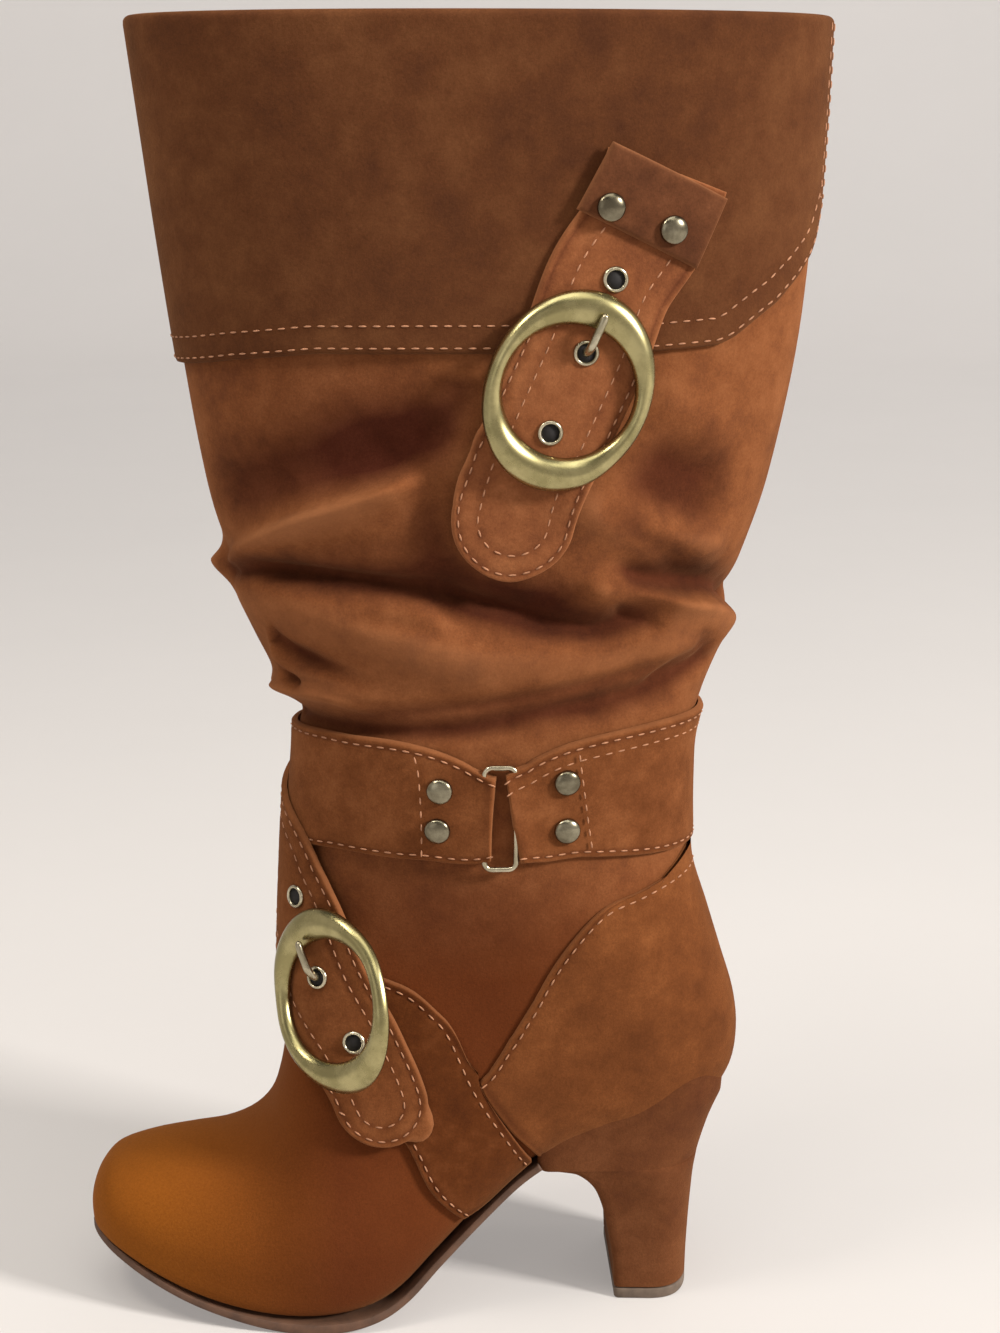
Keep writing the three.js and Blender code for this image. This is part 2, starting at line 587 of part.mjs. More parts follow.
function makeOutsole() {
  const slab = soleSlab(-clear - outsoleWall, 2 * clear, 1, 1, soleEdge - clear);
  const soleEnd = coverLine[0][0] - clear;
  const behind = sidePrism([
    [soleEnd, -heelHeight], [2 * footLength, -heelHeight], [2 * footLength, 2 * heelHeight], [soleEnd, 2 * heelHeight],
  ]);
  const floor = new THREE.BoxGeometry(2 * footLength, 2 * ballWidth, heelHeight).translate(0, 0, -heelHeight / 2);
  return largest(slab.subtract(bodyClear).subtract(behind).subtract(solidOf(floor)));
}

function makeInsole() {
  const low = upperWall + clear;
  const board = soleSlab(low, low + insoleWall, 1.3, 1.3, 0, 1);
  return largest(board.intersect(form(-upperWall - clear, 0, aroundColumns / 2)));
}

// Half outlines of the heel at one height, from the breast round the back
function heelRing(z, breast, back, half) {
  const ring = [];
  const middle = breast + 0.45 * (back - breast);
  for (let i = 0; i <= 12; i++) {
    const q = rad(-90 + 15 * i);
    const reach = Math.max(Math.cos(q), 0) ** (2 / heelCornerRound);
    const across = Math.sign(Math.sin(q)) * Math.abs(Math.sin(q)) ** (2 / heelCornerRound);
    ring.push(new THREE.Vector3(middle + (back - middle) * reach, half * across, z));
  }
  ring.push(new THREE.Vector3(breast, half * 0.96, z), new THREE.Vector3(breast, -half * 0.96, z));
  return ring;
}

const heelSizes = [heelHeight, heelHeight, heelHeight, ballWidth];

function makeHeelBlock() {
  const rows = scaled(heelStations, heelSizes);
  rows[0][0] = topLiftWall + clear;
  const column = loft(rows.map((row) => heelRing(...row)));
  const seat = sections.slice(11, 19).map(([x, , , ,], i) => [x, sections[11 + i][1]]);
  const under = sidePrism([
    [footLength, -clear], [-clear, -clear], ...seat.filter(([x]) => x > 0), [footLength, seat.at(-1)[1]],
  ]);
  const cup = form(counterWall + clear, 0, aroundColumns).intersect(
    sidePrism([[footLength, heelHeight / 2], [coverLine[0][0], heelHeight / 2], ...coverLine]),
  );
  return largest(column.intersect(under).add(cup).subtract(bodyClear));
}

function makeTopLift() {
  const [, breast, back, half] = scaled(heelStations, heelSizes)[0];
  return loft([heelRing(0, breast, back, half), heelRing(topLiftWall, breast, back, half)]);
}

function makeCounter() {
  const seam = scaled(counterSeam, [footLength, heelHeight]);
  const lower = coverLine.map(([x, z]) => [x, z + clear]);
  const region = sidePrism([...seam, ...lower]);
  return largest(form(counterWall + clear, 0, aroundColumns).subtract(bodyClear).intersect(region));
}

function makeShankStrap() {
  const soleKeepOut = soleSlab(-2 * outsoleWall, 4 * clear, 1.5, 1.5, 0);
  const region = sidePrism(scaled(shankEdge, [footLength, heelHeight]), ballWidth, 0);
  const layer = form(overUpper + strapWall, 0, aroundColumns).subtract(bodyClear);
  return largest(layer.intersect(region).subtract(soleKeepOut));
}

function makeCuff() {
  const top = clear + cuffWall;
  const outside = form(top, top, aroundColumns);
  const inside = form(clear, clear, aroundColumns);
  const edge = scaled(cuffEdge, [rimDepth, shaftHeight]);
  const region = sidePrism([...edge, [edge.at(-1)[0], 2 * shaftHeight], [edge[0][0], 2 * shaftHeight]]);
  const slit = new THREE.BoxGeometry(rimDepth, backSlit, shaftHeight).translate(rimDepth * 0.8, 0, shaftHeight);
  return largest(outside.subtract(inside).subtract(hollow).intersect(region).subtract(solidOf(slit)));
}

add("upper", makeUpper(), suede);
add("outsole", makeOutsole(), tan);
add("insole", makeInsole(), lining);
add("heel_block", makeHeelBlock(), suede);
add("heel_top_lift", makeTopLift(), liftRubber);
add("heel_counter", makeCounter(), suedeDark);
add("cuff", makeCuff(), suedeDark);

// Straps with their holes
function withHoles(strap, frames, wall) {
  return frames.reduce((solid, frame) => solid.subtract(placed(holeGeometry(wall), frame.matrix)), strap);
}

const cuffTop = overCuff + strapWall + clear;
const instepTop = overBelt + strapEase + strapWall + clear;
const cuffFrames = cuffEyelets.map((place, i) =>
  frameAt(place, cuffEyelets[i - 1] ?? cuffStrapPath[0], shaftScale, cuffTop),
);
const instepFrames = instepEyelets.map((place, i) =>
  frameAt(place, instepEyelets[i - 1] ?? instepPath[3], ankleScale, instepTop),
);

const cuffStrap = strapSolid(cuffStrapPath, shaftScale, overCuff, strapWall, true);
add("cuff_strap", withHoles(cuffStrap, cuffFrames, strapWall), suedeStrap);
add("cuff_strap_fold", strapSolid([cuffStrapPath[0], foldEnd], shaftScale, cuffTop, strapWall, false), suedeStrap);
const instepStrap = strapSolid(instepPath, ankleScale, overBelt + strapEase, strapWall, true);
add("instep_strap", withHoles(instepStrap, instepFrames, strapWall), suedeStrap);
add("shank_strap", makeShankStrap(), suedeStrap);

// Belt with its thick ends round the wire ring
const wireMiddle = overUpper + strapEase + beltEndWall / 2;
const beltRingFrame = frameAt(beltRingPlace, [beltRingPlace[0], beltRingPlace[1] + 0.3], ankleScale, wireMiddle);
function wireLoop(radius) {
  const corners = [[1, 0.6], [0.82, 1], [-0.82, 1], [-1, 0.6], [-1, -0.6], [-0.82, -1], [0.82, -1], [1, -0.6]];
  const points = corners.map(([u, v]) => new THREE.Vector3(u * wireHalfHeight, v * wireHalfWidth, 0));
  const curve = new THREE.CatmullRomCurve3(points, true);
  const turns = 24;
  const sides = 8;
  const rings = Array.from({ length: turns }, (_, i) => {
    const middle = curve.getPoint(i / turns);
    const run = curve.getTangent(i / turns);
    return Array.from({ length: sides }, (_, k) => {
      const q = (2 * Math.PI * k) / sides;
      const side = new THREE.Vector3(-run.y, run.x, 0).multiplyScalar(radius * Math.cos(q));
      return middle.clone().add(side).setZ(radius * Math.sin(q)).applyMatrix4(beltRingFrame.matrix);
    });
  });
  return loopSolid(rings);
}
const belt = strapSolid(beltPath, ankleScale, overUpper + strapEase, beltEndWall, false);
add("ankle_belt", belt.subtract(wireLoop(wireRadius + clear)), suedeStrap);
add("ankle_ring", wireLoop(wireRadius), nickel);

// Rings, prongs, eyelets and studs
const cuffRingFrame = frameAt(cuffRingPlace, cuffEyelets[0], shaftScale, cuffTop + ringEase);
const instepRingTop = instepTop + 2 * ringEase;
const instepRingFrame = frameAt(instepRingPlace, instepEyelets[0], ankleScale, instepRingTop, instepRingTurn);
add("cuff_ring", ringSolid(cuffRingFrame), brass);
add("instep_ring", ringSolid(instepRingFrame), brass);
add("cuff_prong", prongSolid(cuffFrames[1], strapWall), nickel);
add("instep_prong", prongSolid(instepFrames[1], strapWall), nickel);
cuffFrames.forEach((frame, i) => add(`cuff_eyelet_${i + 1}`, placed(eyeletGeometry(strapWall), frame.matrix), nickel));
instepFrames.forEach((frame, i) =>
  add(`instep_eyelet_${i + 1}`, placed(eyeletGeometry(strapWall), frame.matrix), nickel),
);

cuffStuds.forEach((place, i) => {
  const frame = frameAt(place, cuffEyelets[0], shaftScale, cuffTop + strapWall + clear);
  add(`cuff_stud_${i + 1}`, placed(studGeometry(), frame.matrix), darkMetal);
});
beltStuds.forEach((place, i) => {
  const frame = frameAt(place, beltRingPlace, ankleScale, overUpper + strapEase + beltWall + clear);
  add(`ankle_stud_${i + 1}`, placed(studGeometry(), frame.matrix), darkMetal);
});

// The origin lies under the middle of the boot's box, on the floor
const box = new THREE.Box3().setFromObject(boot);
boot.position.set(-(box.min.x + box.max.x) / 2, -(box.min.y + box.max.y) / 2, -box.min.z);

export default boot;
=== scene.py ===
import math

import bpy
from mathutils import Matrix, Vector
from mathutils.bvhtree import BVHTree
import numpy as np


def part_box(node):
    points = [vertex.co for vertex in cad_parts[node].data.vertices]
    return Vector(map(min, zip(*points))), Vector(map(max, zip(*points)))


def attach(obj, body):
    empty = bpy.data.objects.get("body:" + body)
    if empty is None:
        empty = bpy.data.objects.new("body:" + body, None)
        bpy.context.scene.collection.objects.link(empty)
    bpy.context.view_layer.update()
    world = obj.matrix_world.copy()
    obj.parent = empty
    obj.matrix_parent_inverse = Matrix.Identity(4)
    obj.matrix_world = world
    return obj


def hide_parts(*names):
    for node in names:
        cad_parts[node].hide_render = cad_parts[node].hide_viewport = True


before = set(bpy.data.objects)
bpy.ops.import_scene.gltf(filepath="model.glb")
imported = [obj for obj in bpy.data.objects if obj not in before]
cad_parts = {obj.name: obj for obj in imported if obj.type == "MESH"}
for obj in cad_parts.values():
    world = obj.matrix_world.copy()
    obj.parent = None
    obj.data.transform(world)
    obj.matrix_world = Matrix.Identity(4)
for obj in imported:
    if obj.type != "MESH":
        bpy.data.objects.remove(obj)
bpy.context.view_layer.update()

# The last and the shaft, in millimetres, toe at -X, outer side at -Y

footLength = 228
ballWidth = 87
heelHeight = 68
instepHeight = 80
shaftHeight = 432.5
rimDepth = 218
rimWidth = 112

footSections = [
  [-0.634, 0.4, -0.635, 0.385, 0.03, 0.03, 0.45, 2.6, 2.2],
  [-0.6295, 0.366, -0.633, 0.46, 0.105, 0.11, 0.42, 3.4, 2.2],
  [-0.6165, 0.345, -0.6215, 0.54, 0.182, 0.21, 0.38, 4.4, 2.2],
  [-0.588, 0.303, -0.5965, 0.61, 0.262, 0.308, 0.34, 5.4, 2.15],
  [-0.535, 0.217, -0.544, 0.655, 0.34, 0.39, 0.32, 6, 2.1],
  [-0.469, 0.13, -0.4825, 0.681, 0.408, 0.45, 0.31, 6, 2.1],
  [-0.399, 0.0725, -0.43, 0.706, 0.46, 0.477, 0.3, 6, 2.1],
  [-0.329, 0.0385, -0.386, 0.769, 0.49, 0.483, 0.3, 6, 2.1],
  [-0.259, 0.0385, -0.356, 0.869, 0.51, 0.471, 0.31, 5.6, 2.1],
  [-0.197, 0.071, -0.34, 1.0, 0.506, 0.448, 0.33, 5, 2.1],
  [-0.149, 0.152, -0.331, 1.1375, 0.49, 0.425, 0.36, 4.6, 2.05],
  [-0.0965, 0.322, -0.3255, 1.275, 0.47, 0.408, 0.39, 4.2, 2.0],
  [-0.035, 0.522, -0.322, 1.4, 0.447, 0.402, 0.41, 3.8, 2.0],
  [0.035, 0.73, -0.32, 1.5125, 0.43, 0.402, 0.43, 3.5, 2.0],
  [0.114, 0.872, -0.3185, 1.625, 0.42, 0.402, 0.45, 3.2, 2.0],
  [0.193, 0.936, -0.317, 1.725, 0.415, 0.408, 0.46, 2.9, 2.0],
  [0.261, 0.968, -0.3155, 1.8125, 0.412, 0.408, 0.46, 2.7, 2.0],
  [0.314, 1.052, -0.314, 1.8875, 0.41, 0.408, 0.46, 2.5, 2.0],
  [0.347, 1.21, -0.3125, 1.9625, 0.41, 0.408, 0.46, 2.4, 2.0],
  [0.3555, 1.397, -0.311, 2.0375, 0.41, 0.41, 0.46, 2.4, 2.0],
  [0.349, 1.588, -0.309, 2.125, 0.412, 0.412, 0.46, 2.35, 2.0],
  [0.329, 1.809, -0.3065, 2.225, 0.415, 0.415, 0.47, 2.35, 2.0],
  [0.306, 2.059, -0.304, 2.3375, 0.42, 0.42, 0.48, 2.3, 2.05],
  [0.283, 2.309, -0.3005, 2.45, 0.425, 0.425, 0.49, 2.3, 2.1],
]
shaftSections = [
  [0.2915, 0.398, -0.3125, 0.469, 0.332, 0.332, 0.5, 2.3, 2.1],
  [0.2905, 0.4345, -0.3125, 0.4855, 0.336, 0.336, 0.5, 2.3, 2.1],
  [0.2935, 0.469, -0.3235, 0.502, 0.346, 0.346, 0.5, 2.3, 2.15],
  [0.313, 0.506, -0.348, 0.5225, 0.366, 0.366, 0.5, 2.3, 2.2],
  [0.342, 0.546, -0.38, 0.555, 0.388, 0.388, 0.5, 2.3, 2.2],
  [0.352, 0.578, -0.403, 0.585, 0.405, 0.405, 0.5, 2.3, 2.2],
  [0.3665, 0.6105, -0.414, 0.615, 0.424, 0.424, 0.5, 2.3, 2.2],
  [0.404, 0.6705, -0.444, 0.6725, 0.452, 0.452, 0.5, 2.3, 2.2],
  [0.4405, 0.763, -0.4715, 0.763, 0.48, 0.48, 0.5, 2.3, 2.2],
  [0.4575, 0.846, -0.493, 0.846, 0.49, 0.49, 0.5, 2.3, 2.2],
  [0.4655, 0.925, -0.5115, 0.925, 0.497, 0.497, 0.5, 2.3, 2.2],
  [0.47, 1.0, -0.529, 1.0, 0.5, 0.5, 0.5, 2.3, 2.2],
]
folds = [
  [184, 0.608, 96, 0.702, -0.01, 0.02, 0.044],
  [186, 0.604, 52, 0.573, 0.004, -0.025, 0.034],
  [188, 0.552, 112, 0.53, 0.0, -0.016, 0.03],
  [200, 0.505, 122, 0.518, 0.0, 0.018, 0.026],
  [160, 0.495, 14, 0.532, -0.012, -0.014, 0.028],
  [86, 0.68, 4, 0.63, 0.004, 0.019, 0.04],
  [78, 0.628, -28, 0.542, 0.008, -0.017, 0.028],
  [92, 0.605, -24, 0.536, 0.01, 0.016, 0.024],
  [290, 0.67, 186, 0.6, 0.0, 0.02, 0.044],
  [330, 0.63, 200, 0.585, -0.01, -0.022, 0.034],
  [345, 0.6, 225, 0.56, 0.012, 0.02, 0.034],
  [320, 0.54, 190, 0.535, -0.01, -0.02, 0.03],
]
soleStations = [
  [-0.6345, 0.36, 0.03, 0.03],
  [-0.6285, 0.352, 0.11, 0.12],
  [-0.614, 0.336, 0.187, 0.217],
  [-0.5865, 0.298, 0.268, 0.314],
  [-0.5365, 0.216, 0.346, 0.398],
  [-0.473, 0.131, 0.412, 0.456],
  [-0.4035, 0.0735, 0.465, 0.48],
  [-0.329, 0.0368, 0.498, 0.485],
  [-0.259, 0.0368, 0.517, 0.468],
  [-0.197, 0.07, 0.503, 0.433],
  [-0.149, 0.15, 0.465, 0.398],
  [-0.0965, 0.321, 0.42, 0.362],
  [-0.035, 0.521, 0.376, 0.337],
  [0.02, 0.693, 0.348, 0.327],
  [0.06, 0.795, 0.342, 0.327],
]
heelStations = [
  [0.062, 0.58, 0.975, 0.278],
  [0.2, 0.572, 0.978, 0.283],
  [0.4, 0.54, 0.988, 0.295],
  [0.54, 0.508, 0.998, 0.307],
  [0.65, 0.462, 1.008, 0.318],
  [0.73, 0.375, 1.022, 0.328],
  [0.755, 0.27, 1.028, 0.331],
  [0.768, 0.185, 1.032, 0.333],
  [0.86, 0.178, 1.058, 0.336],
  [0.97, 0.178, 1.095, 0.337],
  [1.1, 0.178, 1.152, 0.34],
]
counterSeam = [
  [0.5, 2.36], [0.285, 2.35], [0.2, 2.27], [0.138, 2.19], [0.08, 1.96], [0.0385, 1.71], [-0.02, 1.38],
  [-0.033, 1.29], [0.0145, 1.03],
]
heelCoverLine = [[0.053, 0.81], [0.094, 0.905], [0.158, 0.965], [0.208, 1.02], [0.285, 1.12], [0.5, 1.3]]
cuffEdge = [
  [-0.8, 0.755], [-0.477, 0.7585], [-0.386, 0.7667], [-0.268, 0.7736], [-0.119, 0.7746], [0.211, 0.775],
  [0.2995, 0.7776],
  [0.323, 0.7822], [0.372, 0.7998], [0.39, 0.8055], [0.424, 0.8224], [0.446, 0.8365], [0.4565, 0.8476],
  [0.472, 0.88],
  [0.5, 0.92], [0.8, 0.94],
]
beltPath = [
  [-0.0165, 2.29, 1, 0.72, 1], [-0.06, 2.3, 1, 0.86, 0.55], [-0.136, 2.35, 1, 1.02, 0.5],
  [-0.24, 2.36, 1, 1.07, 0.5], [-0.298, 2.33, 0, 1.1, 0.5], [-0.24, 2.33, -1, 1.08, 0.5],
  [-0.136, 2.33, -1, 1.08, 0.5], [0.0, 2.33, -1, 1.08, 0.5], [0.145, 2.35, -1, 1.13, 0.5],
  [0.235, 2.36, -1, 1.2, 0.5], [0.279, 2.37, 0, 1.22, 0.5], [0.225, 2.37, 1, 1.2, 0.5],
  [0.12, 2.36, 1, 1.06, 0.5], [0.045, 2.31, 1, 0.88, 0.55], [0.0095, 2.29, 1, 0.78, 1],
]
instepPath = [
  [-0.13, 2.42, -1, 1, 1], [-0.21, 2.32, -1, 1, 1], [-0.275, 2.16, -1, 1, 1], [-0.31, 2.0, 0, 1, 1],
  [-0.307, 1.86, 1, 1, 1], [-0.274, 1.55, 1, 0.95, 1], [-0.222, 1.29, 1, 0.86, 1], [-0.189, 1.1, 1, 0.8, 1],
  [-0.167, 0.86, 1, 0.78, 1],
]
cuffStrapPath = [
  [0.219, 0.9, 1, 1, 1], [0.192, 0.8636, 1, 1, 1], [0.142, 0.8254, 1, 1, 1], [0.1064, 0.7764, 1, 1, 1],
  [0.0587, 0.7209, 1, 1, 1], [0.0165, 0.6709, 1, 1, 1], [-0.01, 0.6135, 1, 1, 1],
]
foldEnd = [0.1748, 0.8536, 1, 1.04, 1]
beltRingPlace = [-0.0065, 2.29]
instepRingPlace = [-0.234, 1.472]
instepEyelets = [[-0.289, 1.86], [-0.262, 1.54], [-0.2145, 1.295]]
beltStuds = [[-0.0906, 2.4086], [-0.0938, 2.2387], [0.0872, 2.4407], [0.0877, 2.2321]]
cuffRingPlace = [0.0825, 0.7505]
cuffEyelets = [[0.145, 0.8265], [0.1064, 0.7764], [0.0587, 0.7209]]
cuffStuds = [[0.1353, 0.8758], [0.2188, 0.8603]]


def scaled(rows, sizes):
    rows = np.array(rows, float)
    full = np.ones(rows.shape[1])
    full[: len(sizes)] = sizes
    return rows * full


sections = np.vstack([
    scaled(footSections, [footLength, heelHeight, footLength, instepHeight, ballWidth, ballWidth]),
    scaled(shaftSections, [rimDepth, shaftHeight, rimDepth, shaftHeight, rimWidth, rimWidth]),
])
lastRow = len(sections) - 1


def rowAt(table, t):
    t = np.asarray(t, float)
    last = len(table) - 1
    i = np.clip(np.floor(t).astype(int), 0, last - 1)
    f = (t - i)[..., None]
    a, b, c, d = (table[np.clip(i + k, 0, last)] for k in (-1, 0, 1, 2))
    return b + 0.5 * f * (c - a + f * (2 * a - 5 * b + 4 * c - d + f * (3 * (b - c) + d - a)))


def smooth(v):
    v = np.clip(v, 0, 1)
    return v * v * (3 - 2 * v)


def plainSurface(t, angle):
    row = rowAt(sections, t)
    lowX, lowZ, highX, highZ, outer, inner, widest, roundLow, roundHigh = np.moveaxis(row, -1, 0)
    c = np.cos(np.radians(angle))
    s = np.sin(np.radians(angle))
    power = 2 / np.where(c > 0, roundLow, roundHigh)
    share = widest - np.sign(c) * np.abs(c) ** power * np.where(c > 0, widest, 1 - widest)
    side = np.sign(s) * np.abs(s) ** power * np.where(s > 0, outer, inner)
    p = np.stack([lowX + (highX - lowX) * share, -side, lowZ + (highZ - lowZ) * share], -1)
    axis = np.stack([highX - lowX, 0 * lowX, highZ - lowZ], -1)
    axis /= np.linalg.norm(axis, axis=-1, keepdims=True)
    out = -c[..., None] * axis + np.stack([0 * s, -s, 0 * s], -1)
    return p, out


def cadFoldLift(angle, z):
    height = z / shaftHeight
    free = smooth((height - 0.478) / 0.016) * smooth((0.74 - height) / 0.016)
    lift = np.zeros_like(z)
    if not np.any(free > 0):
        return lift
    for fromAngle, fromHeight, toAngle, toHeight, sag, depth, reach in folds:
        low = min(fromAngle, toAngle)
        u = (low + np.mod(angle - low, 360) - fromAngle) / (toAngle - fromAngle)
        inside = (u > 0) & (u < 1)
        line = fromHeight + (toHeight - fromHeight) * u + 4 * sag * u * (1 - u)
        off = (height - line) * shaftHeight / (reach * rimDepth)
        fade = smooth(u * 5) * smooth((1 - u) * 5)
        lift += np.where(inside, depth * rimDepth * np.exp(-off * off) * fade, 0)
    return lift * free


def cadSurface(t, angle):
    p, out = plainSurface(t, angle)
    return p + out * cadFoldLift(np.mod(angle, 360), p[..., 2])[..., None]


# Creases: points as angle (0 back, 90 outer side, 180 front) and share of shaftHeight, depth,
# reach below and above in millimetres, and how much of the length fades at each end
strokes = [
    # outer side, front half
    [[[190, 0.6], [176, 0.604], [164, 0.611], [146, 0.632], [128, 0.652], [108, 0.677], [97, 0.697]],
     5.5, 6, 3.2, 0.05, 0.2],
    [[[174, 0.64], [150, 0.668], [128, 0.688], [108, 0.708], [94, 0.73]], -5.0, 9, 12, 0.3, 0.15],
    [[[182, 0.598], [164, 0.604], [150, 0.612], [122, 0.608], [101, 0.604], [88, 0.586], [78, 0.574],
      [66, 0.569], [56, 0.578], [46, 0.586]], -5.5, 4, 6, 0.06, 0.15],
    [[[176, 0.585], [150, 0.585], [125, 0.575], [100, 0.562], [82, 0.546], [60, 0.545]],
     3.2, 12, 9, 0.2, 0.3],
    [[[151, 0.559], [146, 0.549], [130, 0.538], [114, 0.53]], -4.2, 2.6, 3.6, 0.05, 0.6],
    [[[148, 0.57], [151, 0.545], [157, 0.522]], 1.2, 1.6, 1.6, 0.3, 0.3],
    [[[206, 0.51], [184, 0.507], [170, 0.509], [152, 0.515], [134, 0.517], [112, 0.51], [90, 0.515]],
     5.0, 4.5, 4, 0.15, 0.6],
    [[[160, 0.528], [150, 0.523], [143, 0.521]], -3.6, 1.8, 2.2, 0.4, 0.4],
    [[[190, 0.487], [172, 0.487], [150, 0.486], [128, 0.486], [110, 0.486], [96, 0.491], [82, 0.503],
      [66, 0.511], [48, 0.521], [26, 0.534], [8, 0.541]], -4.0, 3, 6, 0.08, 0.1],
    [[[98, 0.692], [101, 0.656], [100, 0.626], [93, 0.597], [84, 0.587], [75, 0.598], [69, 0.623]],
     -3.2, 7, 7, 0.25, 0.3],
    [[[105, 0.714], [98, 0.724], [96, 0.742], [95, 0.763]], -3.0, 6, 6, 0.3, 0.2],
    [[[140, 0.64], [124, 0.656], [108, 0.677], [100, 0.693]], 1.6, 2.6, 2.2, 0.4, 0.2],
    [[[178, 0.6], [164, 0.606], [150, 0.613], [122, 0.609], [101, 0.605], [88, 0.588], [78, 0.575]],
     -1.8, 1.5, 1.7, 0.15, 0.4],
    [[[84, 0.499], [63, 0.503], [44, 0.514], [29, 0.526]], -2.0, 3.5, 4, 0.3, 0.3],
    [[[170, 0.603], [156, 0.615], [140, 0.636], [128, 0.652], [117, 0.664], [108, 0.677], [100, 0.687]],
     1.8, 2.4, 1.3, 0.1, 0.15],
    [[[156, 0.61], [134, 0.612], [111, 0.605], [93, 0.591], [80, 0.575], [69, 0.568], [57, 0.576]],
     -1.5, 1.3, 1.6, 0.1, 0.2],
    [[[146, 0.56], [153, 0.545], [150, 0.531], [134, 0.53], [121, 0.522]], 1.8, 1.7, 1.5, 0.2, 0.4],
    [[[170, 0.511], [153, 0.512], [135, 0.512], [122, 0.503], [104, 0.496]], 2.0, 2.0, 1.5, 0.1, 0.5],
    [[[142, 0.498], [115, 0.504], [92, 0.513], [76, 0.523], [54, 0.534], [32, 0.548]],
     -1.8, 1.6, 2.4, 0.2, 0.2],
    [[[127, 0.582], [108, 0.576], [94, 0.564], [81, 0.555]], -1.0, 2.2, 2.6, 0.3, 0.3],
    [[[130, 0.633], [115, 0.633], [102, 0.637]], -0.9, 2.2, 2.6, 0.3, 0.3],
    # outer side, rear half
    [[[74, 0.668], [64, 0.647], [46, 0.613], [24, 0.59]], -2.0, 3.0, 3.6, 0.15, 0.3],
    [[[69, 0.619], [59, 0.6], [43, 0.585], [18, 0.574]], 2.2, 2, 1.8, 0.2, 0.3],
    [[[66, 0.593], [56, 0.574], [48, 0.566]], -1.6, 1.5, 1.5, 0.3, 0.3],
    [[[65, 0.711], [52, 0.687], [37, 0.678]], -1.2, 4, 5, 0.3, 0.3],
    [[[50, 0.517], [40, 0.539], [25, 0.554]], -1.6, 1.8, 2, 0.3, 0.3],
    [[[66, 0.754], [54, 0.724], [36, 0.699]], 2.0, 8, 8, 0.3, 0.3],
    [[[70, 0.69], [55, 0.668], [33, 0.646]], -2.2, 6, 7, 0.3, 0.3],
    [[[74, 0.7], [52, 0.69], [34, 0.668]], -2.5, 12, 12, 0.4, 0.4],
    [[[90, 0.672], [76, 0.664], [64, 0.648], [54, 0.637], [40, 0.628], [26, 0.62]], 4.6, 6, 6, 0.25, 0.3],
    [[[70, 0.622], [60, 0.608], [46, 0.602], [30, 0.598], [15, 0.589], [4, 0.575], [-8, 0.568]],
     -6.0, 4, 5, 0.2, 0.15],
    [[[82, 0.612], [70, 0.603], [58, 0.597], [46, 0.586], [30, 0.575], [12, 0.564], [-2, 0.558],
      [-20, 0.56]], 4.0, 6, 4, 0.25, 0.3],
    [[[74, 0.603], [66, 0.598]], 1.6, 4, 4, 0.4, 0.4],
    [[[60, 0.55], [44, 0.548], [28, 0.546], [10, 0.54]], 2.5, 7, 7, 0.3, 0.2],
    [[[40, 0.562], [30, 0.552], [22, 0.54]], -1.8, 2.5, 2.5, 0.4, 0.3],
    [[[50, 0.528], [34, 0.535], [22, 0.543]], -1.5, 2, 2, 0.4, 0.3],
    [[[120, 0.55], [100, 0.545], [84, 0.53]], 1.6, 8, 8, 0.4, 0.4],
    # inner side
    [[[176, 0.604], [200, 0.616], [228, 0.64], [258, 0.672], [280, 0.69]], 4.0, 8, 6, 0.1, 0.4],
    [[[196, 0.65], [225, 0.68], [255, 0.71]], -3.6, 12, 12, 0.35, 0.35],
    [[[180, 0.6], [205, 0.604], [238, 0.597], [268, 0.58], [292, 0.568], [310, 0.575]],
     -5.0, 5, 7, 0.08, 0.3],
    [[[186, 0.582], [220, 0.575], [260, 0.556], [300, 0.545]], 3.0, 11, 9, 0.2, 0.3],
    [[[214, 0.552], [235, 0.538], [256, 0.532]], -2.6, 4, 4, 0.2, 0.4],
    [[[182, 0.487], [212, 0.487], [250, 0.489], [280, 0.503], [310, 0.518], [340, 0.537], [356, 0.541]],
     -4.0, 3, 6, 0.1, 0.1],
    [[[352, 0.572], [335, 0.592], [312, 0.61], [290, 0.63]], -5.0, 5, 7, 0.15, 0.3],
    [[[356, 0.558], [335, 0.575], [308, 0.59], [285, 0.6]], 3.5, 6, 5, 0.2, 0.3],
    [[[345, 0.63], [315, 0.65], [290, 0.672]], 3.2, 8, 8, 0.3, 0.3],
]


liftLow, liftHigh = (np.array(corner) * 1000 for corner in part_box("heel_top_lift"))
shift = np.array([liftHigh[0] - 0.975 * heelHeight, (liftLow[1] + liftHigh[1]) / 2, liftLow[2]])
legRows = sections[8:, 1]
strapHalf = 19.5


def rowOfHeight(z):
    return 8 + np.interp(z, legRows, np.arange(len(legRows)))


def arcSpeed(angle, z):
    row = rowAt(sections, rowOfHeight(z))
    depth = np.abs(row[..., 0] - row[..., 2]) / 2
    width = (row[..., 4] + row[..., 5]) / 2
    return np.radians(np.hypot(depth * np.sin(np.radians(angle)), width * np.cos(np.radians(angle))))


